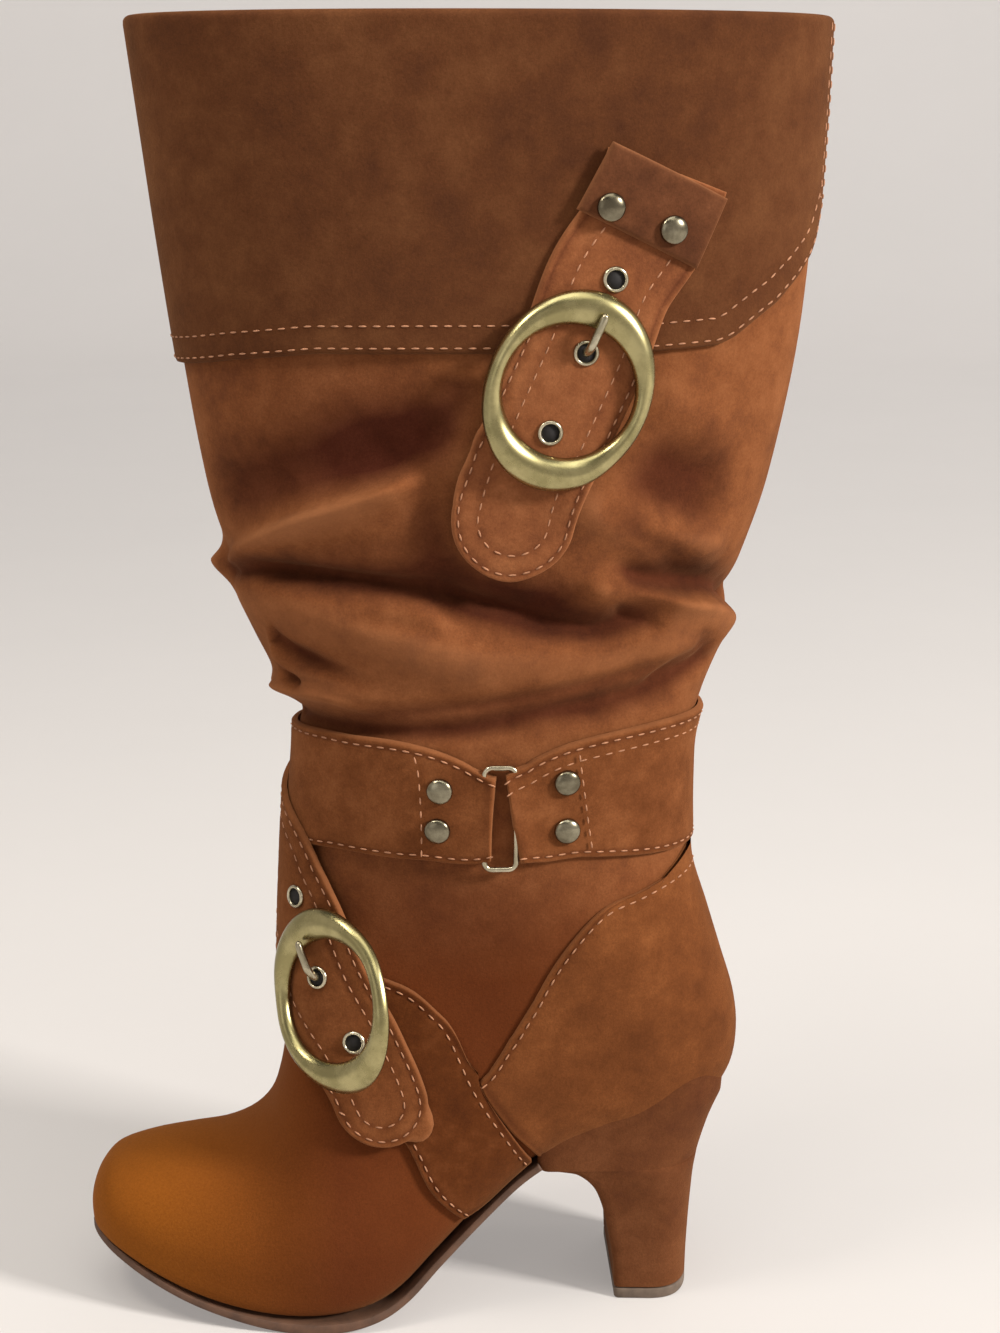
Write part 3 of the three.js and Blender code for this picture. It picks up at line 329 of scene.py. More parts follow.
def strokeLift(stroke, angle, z):
    points, depth, below, above, fadeStart, fadeEnd = stroke
    speed = arcSpeed(angle, z)
    points = np.array(points, float)
    best = np.full(z.shape, 1e9)
    along = np.zeros(z.shape)
    side = np.zeros(z.shape)
    middle = points[:, 0].mean()
    near = angle + 360 * np.round((middle - angle) / 360)
    for i in range(len(points) - 1):
        a0, z0 = points[i, 0], points[i, 1] * shaftHeight
        a1, z1 = points[i + 1, 0], points[i + 1, 1] * shaftHeight
        vx, vz = (a1 - a0) * speed, z1 - z0
        wx, wz = (near - a0) * speed, z - z0
        f = np.clip((wx * vx + wz * vz) / (vx * vx + vz * vz + 1e-9), 0, 1)
        off = np.hypot(wx - f * vx, wz - f * vz)
        closer = off < best
        best = np.where(closer, off, best)
        along = np.where(closer, (i + f) / (len(points) - 1), along)
        side = np.where(closer, wz - f * vz, side)
    width = np.where(side > 0, above, below)
    fade = smooth(along / max(fadeStart, 1e-3)) * smooth((1 - along) / max(fadeEnd, 1e-3))
    fade = np.where(best < 1e8, np.maximum(fade, 0), 0)
    soft = np.sqrt(best**2 + 0.5) - math.sqrt(0.5)
    return depth * np.exp(-((soft / width) ** 1.6)) * fade


def fineLift(angle, z):
    angle = np.mod(angle, 360)
    lift = np.zeros(z.shape)
    tone = np.zeros(z.shape)
    for stroke in strokes:
        part = strokeLift(stroke, angle, z)
        lift += part
        # Painted shade in each trough (positive tone) and painted highlight on each ridge (negative tone)
        tone += np.where(part < 0, -part / 4.0, -part / 14.0)
    free = smooth((z / shaftHeight - 0.472) / 0.02)
    return lift * free, np.clip(tone, -0.5, 1) * free


def normals(surfaceOf, t, angle):
    t0, t1 = np.maximum(t - 0.02, 0), np.minimum(t + 0.02, lastRow)
    along = (surfaceOf(t1, angle) - surfaceOf(t0, angle)) / (t1 - t0)[..., None]
    round_ = surfaceOf(t, angle + 0.5) - surfaceOf(t, angle - 0.5)
    n = np.cross(along, round_)
    return n / np.linalg.norm(n, axis=-1, keepdims=True), along, round_


def lifted(t, angle, height):
    t, angle = np.broadcast_arrays(np.asarray(t, float), np.asarray(angle, float))
    n, _, _ = normals(cadSurface, t, angle)
    return cadSurface(t, angle) + n * np.asarray(height, float)[..., None]


coarseGrids = {}


def coarseGrid(key, angles):
    if key not in coarseGrids:
        t, a = np.meshgrid(np.arange(3, lastRow + 0.01, 0.25), angles, indexing="ij")
        coarseGrids[key] = (t, a, cadSurface(t, a))
    return coarseGrids[key]


def placeOnSide(x, z, side):
    if side == 0:
        t, a, p = coarseGrid(("middle", x < 0), np.array([180.0 if x < 0 else 0.0]))
    else:
        t, a, p = coarseGrid(side, side * np.arange(4, 177, 3.0))
    size = np.array([0.25, 3.0])
    for step in range(8):
        p = p if step == 0 else cadSurface(t, a)
        i = np.argmin(np.hypot(p[..., 0] - x, p[..., 2] - z))
        bt, ba = t.flat[i], a.flat[i]
        spread = np.linspace(-1, 1, 9)
        rows = np.clip(bt + spread * size[0], 0, lastRow)
        t, a = np.meshgrid(rows, ba + (spread * size[1] if side else [0.0]), indexing="ij")
        size = size * 0.4
    return bt, ba


def walk(t, angle, direction, distance):
    t, angle, distance = np.broadcast_arrays(*(np.asarray(v, float) for v in (t, angle, distance)))
    heading = np.broadcast_to(direction, t.shape + (3,)).copy()
    for _ in range(4):
        _, along, round_ = normals(cadSurface, t, angle)
        aa, rr, ar = ((u * v).sum(-1) for u, v in ((along, along), (round_, round_), (along, round_)))
        ah, rh = (along * heading).sum(-1), (round_ * heading).sum(-1)
        det = aa * rr - ar * ar
        t = np.minimum(t + (ah * rr - rh * ar) / det * distance / 4, lastRow - 0.01)
        angle = angle + (rh * aa - ah * ar) / det * distance / 4
        n, _, _ = normals(cadSurface, t, angle)
        heading = heading - n * (heading * n).sum(-1, keepdims=True)
        heading /= np.linalg.norm(heading, axis=-1, keepdims=True)
    return t, angle


# Meshes
def makeObject(name, points, faces, material, nodes=(), smoothShade=True, values=None):
    points = (np.asarray(points, float).reshape(-1, 3) + shift) / 1000
    mesh = bpy.data.meshes.new(name)
    mesh.from_pydata(points.tolist(), [], [tuple(int(i) for i in face) for face in faces])
    mesh.validate()
    mesh.polygons.foreach_set("use_smooth", [smoothShade] * len(mesh.polygons))
    if values is not None:
        layer = mesh.attributes.new("shade", "FLOAT", "POINT")
        layer.data.foreach_set("value", np.asarray(values, float).ravel())
    mesh.materials.append(material)
    mesh.update()
    obj = bpy.data.objects.new(name, mesh)
    bpy.context.scene.collection.objects.link(obj)
    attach(obj, "root")
    if nodes:
        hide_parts(*nodes)
    return obj


def gridFaces(rows, columns, wrap=False, start=0):
    i, j = np.meshgrid(np.arange(rows - 1), np.arange(columns if wrap else columns - 1), indexing="ij")
    a = start + i * columns + j
    b = start + i * columns + (j + 1) % columns
    return np.stack([a, b, b + columns, a + columns], -1).reshape(-1, 4)


def loopFaces(rows, columns):
    last = (rows - 1) * columns
    close = [(last + j, last + (j + 1) % columns, (j + 1) % columns, j) for j in range(columns)]
    return [tuple(f) for f in gridFaces(rows, columns, wrap=True)] + close


def cappedFaces(rows, columns):
    ends = [tuple(range(columns))[::-1], tuple((rows - 1) * columns + j for j in range(columns))]
    return [tuple(f) for f in gridFaces(rows, columns, wrap=True)] + ends


def outward(points, faces):
    points = np.asarray(points, float).reshape(-1, 3)
    faces = [tuple(int(i) for i in f) for f in faces]
    corners = np.array([(f[0], f[k], f[k + 1]) for f in faces for k in range(1, len(f) - 1)])
    a, b, c = (points[corners[:, k]] for k in range(3))
    total = (a * np.cross(b, c)).sum()
    return faces if total > 0 else [f[::-1] for f in faces]


def shell(name, top, bottom, material, nodes=(), values=None):
    rows, columns = top.shape[:2]
    count = rows * columns
    points = np.concatenate([top.reshape(-1, 3), bottom.reshape(-1, 3)])
    faces = [tuple(f) for f in gridFaces(rows, columns)]
    faces += [tuple(f[::-1] + count) for f in gridFaces(rows, columns)]
    rim = [(0, j) for j in range(columns)] + [(i, columns - 1) for i in range(1, rows)]
    rim += [(rows - 1, j) for j in range(columns - 2, -1, -1)] + [(i, 0) for i in range(rows - 2, 0, -1)]
    ids = [i * columns + j for i, j in rim]
    for a, b in zip(ids, ids[1:] + ids[:1]):
        faces.append((b, a, a + count, b + count))
    both = None if values is None else np.concatenate([np.ravel(values), np.ravel(values)])
    return makeObject(name, points, outward(points, faces), material, nodes, values=both)


def roundEdge(distance, radius=0.8):
    return np.sqrt(1 - (1 - np.clip(distance / radius, 0, 1)) ** 2)


def tube(points, radius, sides=12, closed=False):
    points = np.asarray(points, float)
    if closed:
        run = np.roll(points, -1, 0) - np.roll(points, 1, 0)
    else:
        run = np.gradient(points, axis=0)
    run /= np.linalg.norm(run, axis=1, keepdims=True)
    side = np.zeros_like(points)
    last = np.cross(run[0], [0.31, 0.17, 0.93])
    for i, r in enumerate(run):
        last = last - r * np.dot(last, r)
        last /= np.linalg.norm(last)
        side[i] = last
    up = np.cross(run, side)
    q = np.linspace(0, 2 * np.pi, sides, endpoint=False)
    radius = np.broadcast_to(radius, (len(points),))[:, None, None]
    c, s = np.cos(q)[None, :, None], np.sin(q)[None, :, None]
    ring = points[:, None] + radius * (c * side[:, None] + s * up[:, None])
    if not closed:
        return ring.reshape(-1, 3), cappedFaces(len(points), sides)
    return ring.reshape(-1, 3), loopFaces(len(points), sides)


def lathe(profile, matrix, segments=32):
    profile = np.array(profile, float)
    q = np.linspace(0, 2 * np.pi, segments, endpoint=False)
    local = np.stack([
        profile[:, None, 0] * np.cos(q), profile[:, None, 0] * np.sin(q), np.repeat(profile[:, 1:2],
                                                                                    segments, 1)], -1)
    points = local @ matrix[0] + matrix[1]
    faces = [tuple(f) for f in gridFaces(len(profile), segments, wrap=True)]
    return points.reshape(-1, 3), faces


# Materials
def nodeTree(name):
    material = bpy.data.materials.new(name)
    material.use_nodes = True
    tree = material.node_tree
    return material, tree, tree.nodes["Principled BSDF"]


def addNode(tree, kind, **values):
    node = tree.nodes.new(kind)
    for key, value in values.items():
        if key in node.inputs:
            node.inputs[key].default_value = value
        else:
            setattr(node, key, value)
    return node


def feed(tree, socket, value):
    if isinstance(value, bpy.types.NodeSocket):
        tree.links.new(value, socket)
    else:
        socket.default_value = value


def rampColour(tree, source, stops):
    ramp = addNode(tree, "ShaderNodeValToRGB")
    while len(ramp.color_ramp.elements) < len(stops):
        ramp.color_ramp.elements.new(0.5)
    for element, (place, colour) in zip(ramp.color_ramp.elements, stops):
        element.position = place
        element.color = (*colour, 1)
    feed(tree, ramp.inputs["Fac"], source)
    return ramp.outputs["Color"]


def noiseOf(tree, place, scale, detail, roughness):
    noise = addNode(tree, "ShaderNodeTexNoise", Scale=scale, Detail=detail, Roughness=roughness)
    feed(tree, noise.inputs["Vector"], place)
    return noise.outputs["Fac"]


def mathOf(tree, operation, *values):
    node = addNode(tree, "ShaderNodeMath", operation=operation)
    for socket, value in zip(node.inputs, values):
        feed(tree, socket, value)
    return node.outputs[0]


def rangeOf(tree, source, fromMin=0.0, fromMax=1.0, toMin=0.0, toMax=1.0):
    node = addNode(tree, "ShaderNodeMapRange")
    ends = {"Value": source, "From Min": fromMin, "From Max": fromMax, "To Min": toMin, "To Max": toMax}
    for key, value in ends.items():
        feed(tree, node.inputs[key], value)
    return node.outputs["Result"]


def mixOf(tree, kind, factor, first, second):
    node = addNode(tree, "ShaderNodeMix", data_type="RGBA", blend_type=kind)
    for key, value in (("Factor", factor), ("A", first), ("B", second)):
        feed(tree, node.inputs[key], value)
    return node.outputs["Result"]


def addBump(tree, shader, height, strength, distance):
    bump = addNode(tree, "ShaderNodeBump", Strength=strength, Distance=distance)
    feed(tree, bump.inputs["Height"], height)
    feed(tree, shader.inputs["Normal"], bump.outputs["Normal"])


def footShadeAndToeHighlight(tree, place, colour, toeHighlightShare):
    spot = addNode(tree, "ShaderNodeSeparateXYZ")
    feed(tree, spot.inputs["Vector"], place)
    # Painted shade: darker towards the bottom of the foot
    foot = rangeOf(tree, spot.outputs["Z"], footShade["from"], footShade["to"], toMax=footShade["share"])
    colour = mixOf(tree, "MIX", foot, colour, (*footShade["colour"], 1))
    # Painted highlight: the toe lighter and warmer
    toe = rangeOf(tree, spot.outputs["X"], toeHighlight["from"], toeHighlight["to"], toMax=toeHighlightShare)
    under = rangeOf(tree, spot.outputs["Z"], toeHighlight["above"], toeHighlight["below"])
    return mixOf(tree, "MIX", mathOf(tree, "MULTIPLY", toe, under), colour, (*toeHighlight["colour"], 1))


def suedeMaterial(name, base, warm, deep, blotch=(70, 16), toeHighlightShare=0.0):
    material, tree, shader = nodeTree(name)
    place = addNode(tree, "ShaderNodeTexCoord").outputs["Object"]
    large = mathOf(tree, "MULTIPLY", noiseOf(tree, place, blotch[1], 4.0, 0.6), 0.45)
    blend = mathOf(tree, "MULTIPLY_ADD", noiseOf(tree, place, blotch[0], 6.0, 0.7), 0.55, large)
    colour = rampColour(tree, blend, [(0.36, deep), (0.5, base), (0.64, warm)])
    if toeHighlightShare:
        colour = footShadeAndToeHighlight(tree, place, colour, toeHighlightShare)
    grain = rangeOf(tree, noiseOf(tree, place, 1400.0, 3.0, 0.7), 0.3, 0.7, 0.86, 1.14)
    colour = mixOf(tree, "MULTIPLY", 1.0, colour, grain)
    shade = addNode(tree, "ShaderNodeAttribute", attribute_name="shade").outputs["Fac"]
    # Painted highlight where the shade attribute is negative, painted shade where it is positive
    colour = mixOf(tree, "MIX", rangeOf(tree, shade, fromMax=-1.0), colour, (*paintedHighlightTone, 1))
    colour = mixOf(tree, "MULTIPLY", rangeOf(tree, shade), colour, (*paintedShadeTone, 1))
    feed(tree, shader.inputs["Base Color"], colour)
    for key, value in suedeNap.items():
        shader.inputs[key].default_value = value
    addBump(tree, shader, noiseOf(tree, place, 620.0, 5.0, 0.75), 0.35, 0.0006)
    return material


def metalMaterial(name, colour, tarnish, roughness):
    material, tree, shader = nodeTree(name)
    place = addNode(tree, "ShaderNodeTexCoord").outputs["Object"]
    noise = noiseOf(tree, place, 90.0, 5.0, 0.65)
    feed(tree, shader.inputs["Base Color"], rampColour(tree, noise, [(0.4, tarnish), (0.62, colour)]))
    feed(tree, shader.inputs["Roughness"], rangeOf(tree, noise, toMin=roughness + 0.1, toMax=roughness))
    shader.inputs["Metallic"].default_value = 1.0
    return material


def grainMaterial(name, colour, roughness, scale=160.0, spread=0.25, bump=0.15):
    material, tree, shader = nodeTree(name)
    place = addNode(tree, "ShaderNodeTexCoord").outputs["Object"]
    grain = noiseOf(tree, place, scale, 5.0, 0.65)
    low, high = ([c * f for c in colour] for f in (1 - spread, 1 + spread))
    feed(tree, shader.inputs["Base Color"], rampColour(tree, grain, [(0.35, low), (0.5, colour), (0.65,
                                                                                                  high)]))
    shader.inputs["Roughness"].default_value = roughness
    if bump:
        addBump(tree, shader, grain, bump, 0.0002)
    return material


suedeNap = {
    "Roughness": 0.92, "Specular IOR Level": 0.04, "Sheen Weight": 0.1, "Sheen Roughness": 0.5,
    "Sheen Tint": (1.0, 0.5, 0.22, 1),
}
# Painted highlight: the toe lighter and warmer, as if lit from above
toeHighlight = {"from": -0.035, "to": -0.1, "above": 0.11, "below": 0.075, "colour": (0.245, 0.075, 0.0075)}
# Painted shade: the foot darker low down, where less light falls from above
footShade = {"from": 0.165, "to": 0.125, "share": 0.88, "colour": (0.105, 0.025, 0.006)}
# Colours of the painted highlight and the painted shade
paintedHighlightTone, paintedShadeTone = (0.34, 0.14, 0.06), (0.3, 0.2, 0.27)
strapBlotch = (110, 30)
suede = suedeMaterial("suede", (0.168, 0.056, 0.0195), (0.225, 0.081, 0.03), (0.1, 0.032, 0.013), toeHighlightShare=0.8)
suedeCuff = suedeMaterial(
    "suedeCuff", (0.08, 0.0275, 0.0105), (0.11, 0.041, 0.0155), (0.054, 0.0185, 0.0082))
suedeStrap = suedeMaterial(
    "suedeStrap", (0.195, 0.066, 0.025), (0.255, 0.094, 0.037), (0.13, 0.042, 0.017), strapBlotch)
suedeCounter = suedeMaterial(
    "suedeCounter", (0.13, 0.041, 0.0122), (0.185, 0.062, 0.019), (0.088, 0.027, 0.0085))
suedeHeel = suedeMaterial(
    "suedeHeel", (0.102, 0.034, 0.0125), (0.135, 0.048, 0.0185), (0.072, 0.0225, 0.0095))
suedeBelt = suedeMaterial(
    "suedeBelt", (0.14, 0.045, 0.0145), (0.19, 0.066, 0.023), (0.095, 0.029, 0.009), strapBlotch)
# Painted shade: a darker copy of the suede for the shank strap, low where less light falls
suedeShankShaded = suedeMaterial(
    "suedeShankShaded", (0.085, 0.0235, 0.006), (0.125, 0.038, 0.0115), (0.058, 0.0155, 0.0045), strapBlotch)
# Painted shade: a darker copy of the suede for the folded strap end, which sits in shade
suedeFoldShaded = suedeMaterial(
    "suedeFoldShaded", (0.096, 0.034, 0.0145), (0.14, 0.052, 0.023), (0.06, 0.021, 0.0098), strapBlotch)
liningTan = grainMaterial("liningTan", (0.3, 0.19, 0.11), 0.85)
soleTan = grainMaterial("soleTan", (0.085, 0.038, 0.019), 0.7)
liftGrey = grainMaterial("liftGrey", (0.125, 0.088, 0.062), 0.75)
threadTan = grainMaterial("threadTan", (0.35, 0.16, 0.08), 0.8, scale=900.0, spread=0.3)
# Painted shade for the eyelet holes
holeShade = grainMaterial("holeShade", (0.008, 0.006, 0.006), 0.8)
brass = metalMaterial("brass", (0.44, 0.385, 0.19), (0.3, 0.26, 0.12), 0.22)
studMetal = metalMaterial("studMetal", (0.3, 0.27, 0.19), (0.14, 0.12, 0.08), 0.2)
nickel = metalMaterial("nickel", (0.6, 0.54, 0.4), (0.36, 0.32, 0.22), 0.22)

# Upper: the suede skin with its folds, and the lining inside it
upper = {"around": 330, "wall": 2.0, "liningRows": 90, "liningAround": 120}


def strapShadow(points):
    path = scaled(cuffStrapPath, [rimDepth, shaftHeight])
    fine = rowAt(path, np.linspace(0, len(path) - 1, 40))
    away = np.hypot(points[..., 0, None] - fine[:, 0], points[..., 2, None] - fine[:, 1]).min(-1)
    return smooth((strapHalf + 6 - away) / 5) * (points[..., 1] < 0)


footRows = np.concatenate([np.linspace(0, 3, 19)[:-1], np.linspace(3, len(footSections) - 1, 70)[:-1]])
foldRows = rowOfHeight(np.linspace(sections[len(footSections), 1], 0.765 * shaftHeight, 172))
lowRows = np.linspace(len(footSections) - 1, foldRows[0], 5)[:-1]
topRows = np.linspace(foldRows[-1], lastRow, 18)[1:]
skinRows = np.unique(np.concatenate([footRows, lowRows, foldRows, topRows]))
t, a = np.meshgrid(skinRows, np.linspace(0, 360, upper["around"], endpoint=False), indexing="ij")
base, out = plainSurface(t, a)
lift, paintedShading = fineLift(a, base[..., 2])
held = strapShadow(base)
lift = lift * (1 - held) + np.minimum(lift, cadFoldLift(a, base[..., 2]) + 1.9) * held
skin = base + out * lift[..., None]
faces = [tuple(f) for f in gridFaces(len(skinRows), upper["around"], wrap=True)]
tip = len(skin.reshape(-1, 3))
points = np.concatenate([skin.reshape(-1, 3), skin[0].mean(0)[None]])
faces += [((j + 1) % upper["around"], j, tip) for j in range(upper["around"])]
# Painted shade (positive tone) and painted light (negative tone) in patches on the outer side: x and z of the
# middle, reach each way in millimetres, tone
paintedShadePatches = [
    [-43, 307, 15, 15, 0.5], [-62, 335, 30, 22, 0.2], [8, 262, 16, 12, 0.25], [-21, 149, 34, 26, 0.42],
    [-6, 108, 18, 26, 0.3], [-45, 18, 62, 16, 0.4], [-60, 60, 26, 30, 0.2], [22, 128, 22, 26, 0.12],
    [38, 232, 14, 10, -0.3], [-72, 285, 26, 14, -0.12],
]
for x, z, reachX, reachZ, amount in paintedShadePatches:
    near = np.exp(-(((base[..., 0] - x) / reachX) ** 2) - ((base[..., 2] - z) / reachZ) ** 2)
    paintedShading = paintedShading + amount * near * (base[..., 1] < 0)
# The painted shade and painted highlight go to the skin's shade attribute
shade = np.concatenate([paintedShading.ravel() * 0.85, [0]])
makeObject("upperSkin", points, outward(points, faces), suede, ["upper"], values=shade)
innerT = np.linspace(0.6, lastRow, upper["liningRows"])
t, a = np.meshgrid(innerT, np.linspace(0, 360, upper["liningAround"], endpoint=False), indexing="ij")
base, out = plainSurface(t, a)
low = base[..., 2] / shaftHeight
sunk = 4.2 * smooth((low - 0.45) / 0.03) * smooth((0.8 - low) / 0.04)
inside = base + out * (np.minimum(fineLift(a, base[..., 2])[0], 0) - upper["wall"] - sunk)[..., None]
points = inside.reshape(-1, 3)
faces = [tuple(f[::-1]) for f in gridFaces(len(innerT), upper["liningAround"], wrap=True)]
faces.append(tuple(range(upper["liningAround"])))
makeObject("upperLining", points, faces, liningTan, ["upper"])
print("upper")

# Cuff: turned down over the rim, open at the back
cuff = {"wall": 2.2, "gap": 0.3, "around": 300, "rows": 46, "slit": 16.0, "edgeRound": 0.9}
edgeLine = scaled(cuffEdge, [rimDepth, shaftHeight])
gridT = np.linspace(len(footSections) + 7, lastRow, 260)


def slitAngle(t):
    angles = np.linspace(0.5, 40, 120)
    tt, aa = np.meshgrid(t, angles, indexing="ij")
    y = -plainSurface(tt, aa)[0][..., 1]
    return np.array([np.interp(cuff["slit"] / 2, row, angles) for row in y])


slitAt = slitAngle(gridT)


def cuffAngle(t, f):
    start = np.interp(t, gridT, slitAt)
    return start + f * (360 - 2 * start)


def cuffEdgeRow(f):
    a = cuffAngle(gridT, f)
    p = lifted(gridT, a, cuff["gap"] + cuff["wall"])
    over = p[:, 2] - np.interp(p[:, 0], edgeLine[:, 0], edgeLine[:, 1])
    first = np.argmax(over > 0)
    if first == 0:
        return gridT[0]
    return np.interp(0, [over[first - 1], over[first]], [gridT[first - 1], gridT[first]])


fractions = np.linspace(0, 1, cuff["around"])
ring = []
rise = np.concatenate([[0, 0.004, 0.012, 0.03], np.linspace(0.06, 1, cuff["rows"] - 4)])
for f in fractions:
    start = cuffEdgeRow(f)
    rowsT = start + (lastRow - start) * rise
    sideways = min(f, 1 - f) * 2 * np.pi * 80
    soft = roundEdge(np.array([0.0, 0.35, 0.9, 2.0] + [9.0] * (cuff["rows"] - 4)), cuff["edgeRound"])
    soft = soft * roundEdge(np.array([min(sideways + 0.05, 9.0)]), cuff["edgeRound"])
    angleOf = cuffAngle(rowsT, f)
    outside = lifted(rowsT, angleOf, cuff["gap"] + cuff["wall"] * (0.35 + 0.65 * soft))
    inner = lifted(rowsT[::-1], angleOf[::-1], cuff["gap"])
    top = lifted(np.array([lastRow]), angleOf[-1:], 0.0)[0]
    outer = outside[-1]
    across = outer - top
    across[2] = 0
    across /= np.linalg.norm(across)
    radius = (cuff["gap"] + cuff["wall"] + upper["wall"]) / 2
    centre = top + across * (cuff["gap"] + cuff["wall"] - radius)
    turn = np.radians(np.linspace(15, 180, 10))
    roll = centre + radius * (np.cos(turn)[:, None] * across + np.sin(turn)[:, None] * np.array([0, 0, 1.0]))
    roll[:, 2] = shaftHeight + 0.3 + 2.2 * np.sin(turn)
    under = np.array([top + across * 0.0, top + across * cuff["gap"]])
    under[:, 2] = shaftHeight + 0.3
    ring.append(np.concatenate([outside, roll, under, inner[1:]]))
ring = np.array(ring)
columns, perRing = ring.shape[:2]
faces = [tuple(f) for f in gridFaces(columns, perRing, wrap=True)]
faces += [tuple(range(perRing)), tuple((columns - 1) * perRing + j for j in range(perRing - 1, -1, -1))]
points = ring.reshape(-1, 3)
makeObject("cuffSkin", points, outward(points, faces), suedeCuff, ["cuff"])
print("cuff")


# Straps
def lengthsAlong(points):
    return np.concatenate([[0], np.cumsum(np.linalg.norm(np.diff(points, axis=0), axis=1))])


def pathPlaces(path, scale):
    rows = scaled(path, [scale[0], scale[1], 1, strapHalf, 1])
    places = np.array([placeOnSide(x, z, side) for x, z, side in rows[:, :3]])
    for i in range(1, len(places)):
        places[i, 1] += 360 * np.round((places[i - 1, 1] - places[i, 1]) / 360)
    return rows, places


def strapFrame(places, u):
    spot = rowAt(places, u)
    end = len(places) - 1
    ahead = cadSurface(*np.moveaxis(rowAt(places, np.minimum(u + 0.05, end)), -1, 0))
    behind = cadSurface(*np.moveaxis(rowAt(places, np.maximum(u - 0.05, 0)), -1, 0))
    run = ahead - behind
    run /= np.linalg.norm(run, axis=-1, keepdims=True)
    n, _, _ = normals(cadSurface, spot[..., 0], spot[..., 1])
    side = np.cross(n, run)
    side /= np.linalg.norm(side, axis=-1, keepdims=True)
    return spot[..., 0], spot[..., 1], side


def strapGrid(path, scale, tail, step=1.6):
    rows, places = pathPlaces(path, scale)
    fine = np.linspace(0, len(places) - 1, 600)
    run = lengthsAlong(cadSurface(*np.moveaxis(rowAt(places, fine), -1, 0)))
    total = run[-1]
    near = np.array([0, 0.12, 0.35, 0.8, 1.5])
    if tail:
        far = total - np.array([0.02, 0.2, 0.5, 1.0, 1.7, 2.6, 3.8, 5.2, 7.0, 9.0, 11.2, 13.6])[::-1]
    else:
        far = total - near[::-1]
    middle = np.arange(near[-1] + step, far[0] - step * 0.5, step)
    lengths = np.concatenate([near, middle, far])
    return rows, places, lengths, total, np.interp(lengths, run, fine), run, fine


def strapSheet(name, path, scale, height, wall, material, nodes, tail=False, radius=0.9, grooves=(),
               puff=0.0):
    rows, places, lengths, total, u, run, fine = strapGrid(path, scale, tail)
    t, a, side = strapFrame(places, u)
    full = rowAt(rows, u)[:, 3]
    thick = rowAt(rows, u)[:, 4] * wall
    left = total - lengths
    half = full * np.sqrt(np.clip(1 - (1 - np.clip(left / full, 0, 1)) ** 2, 0, 1)) if tail else full
    half = np.maximum(half, 0.05)
    edge = np.array([0, 0.006, 0.018, 0.04, 0.075, 0.12, 0.17, 0.23, 0.3, 0.4, 0.52, 0.66, 0.82])
    across = np.concatenate([edge - 1, [0], (1 - edge)[::-1]])
    s = half[:, None] * across
    if tail:
        inTail = np.maximum(full - left, 0)[:, None]
        distance = np.where(inTail > 0, full[:, None] - np.hypot(inTail, s), full[:, None] - np.abs(s))
        distance = np.minimum(distance, np.where(inTail > 0, 99, half[:, None] - np.abs(s)))
    else:
        distance = half[:, None] - np.abs(s)
        distance = np.minimum(distance, left[:, None])
    distance = np.maximum(np.minimum(distance, lengths[:, None] + 0 * s), 0)
    place = walk(np.repeat(t[:, None], len(across), 1), np.repeat(a[:, None], len(across), 1), side[:, None,
                                                                                                    :], s)
    rise = thick[:, None] * roundEdge(distance, radius)
    for where, depth in grooves:
        rise = rise - depth * np.exp(-(((distance - where) / 0.9) ** 2))
    rise = rise + puff * smooth((distance - 2) / 8)
    bottom = lifted(*place, height)
    top = lifted(*place, height + np.maximum(rise, 0.02))
    # Painted shade in the stitch grooves and a painted highlight along the edges
    paintedShading = np.zeros(distance.shape)
    for where, depth in grooves:
        paintedShading += 0.5 * np.exp(-(((distance - where) / 0.8) ** 2))
    paintedShading -= 0.3 * np.exp(-((distance / 0.6) ** 2))
    shell(name, top, bottom, material, nodes, values=np.clip(paintedShading, -1, 1))
    return {"rows": rows, "places": places, "height": height, "total": total, "run": (run, fine)}


def onStrap(strap, length, off, above):
    length, off = np.broadcast_arrays(np.asarray(length, float), np.asarray(off, float))
    run, fine = strap["run"]
    u = np.interp(length, run, fine)
    return lifted(*walk(*strapFrame(strap["places"], u), off), strap["height"] + above)


def frameAt(place, ahead, scale, height, turn=0.0):
    t, a = placeOnSide(place[0] * scale[0], place[1] * scale[1], 1)
    t2, a2 = placeOnSide(ahead[0] * scale[0], ahead[1] * scale[1], 1)
    origin = lifted(t, a, height)
    run = cadSurface(np.array(t2), np.array(a2)) - cadSurface(np.array(t), np.array(a))
    run /= np.linalg.norm(run)
    n = normals(cadSurface, np.array(t), np.array(a))[0]
    q = math.radians(turn)
    out = n * math.cos(q) + np.cross(run, n) * math.sin(q) + run * np.dot(run, n) * (1 - math.cos(q))
    run = run - out * np.dot(run, out)
    run /= np.linalg.norm(run)
    across = np.cross(out, run)
    return {"t": t, "a": a, "run": run, "out": out, "across": across, "origin": origin, "height": height}


def basis(f):
    return np.array([f["run"], np.cross(f["out"], f["run"]), f["out"]]), f["origin"]


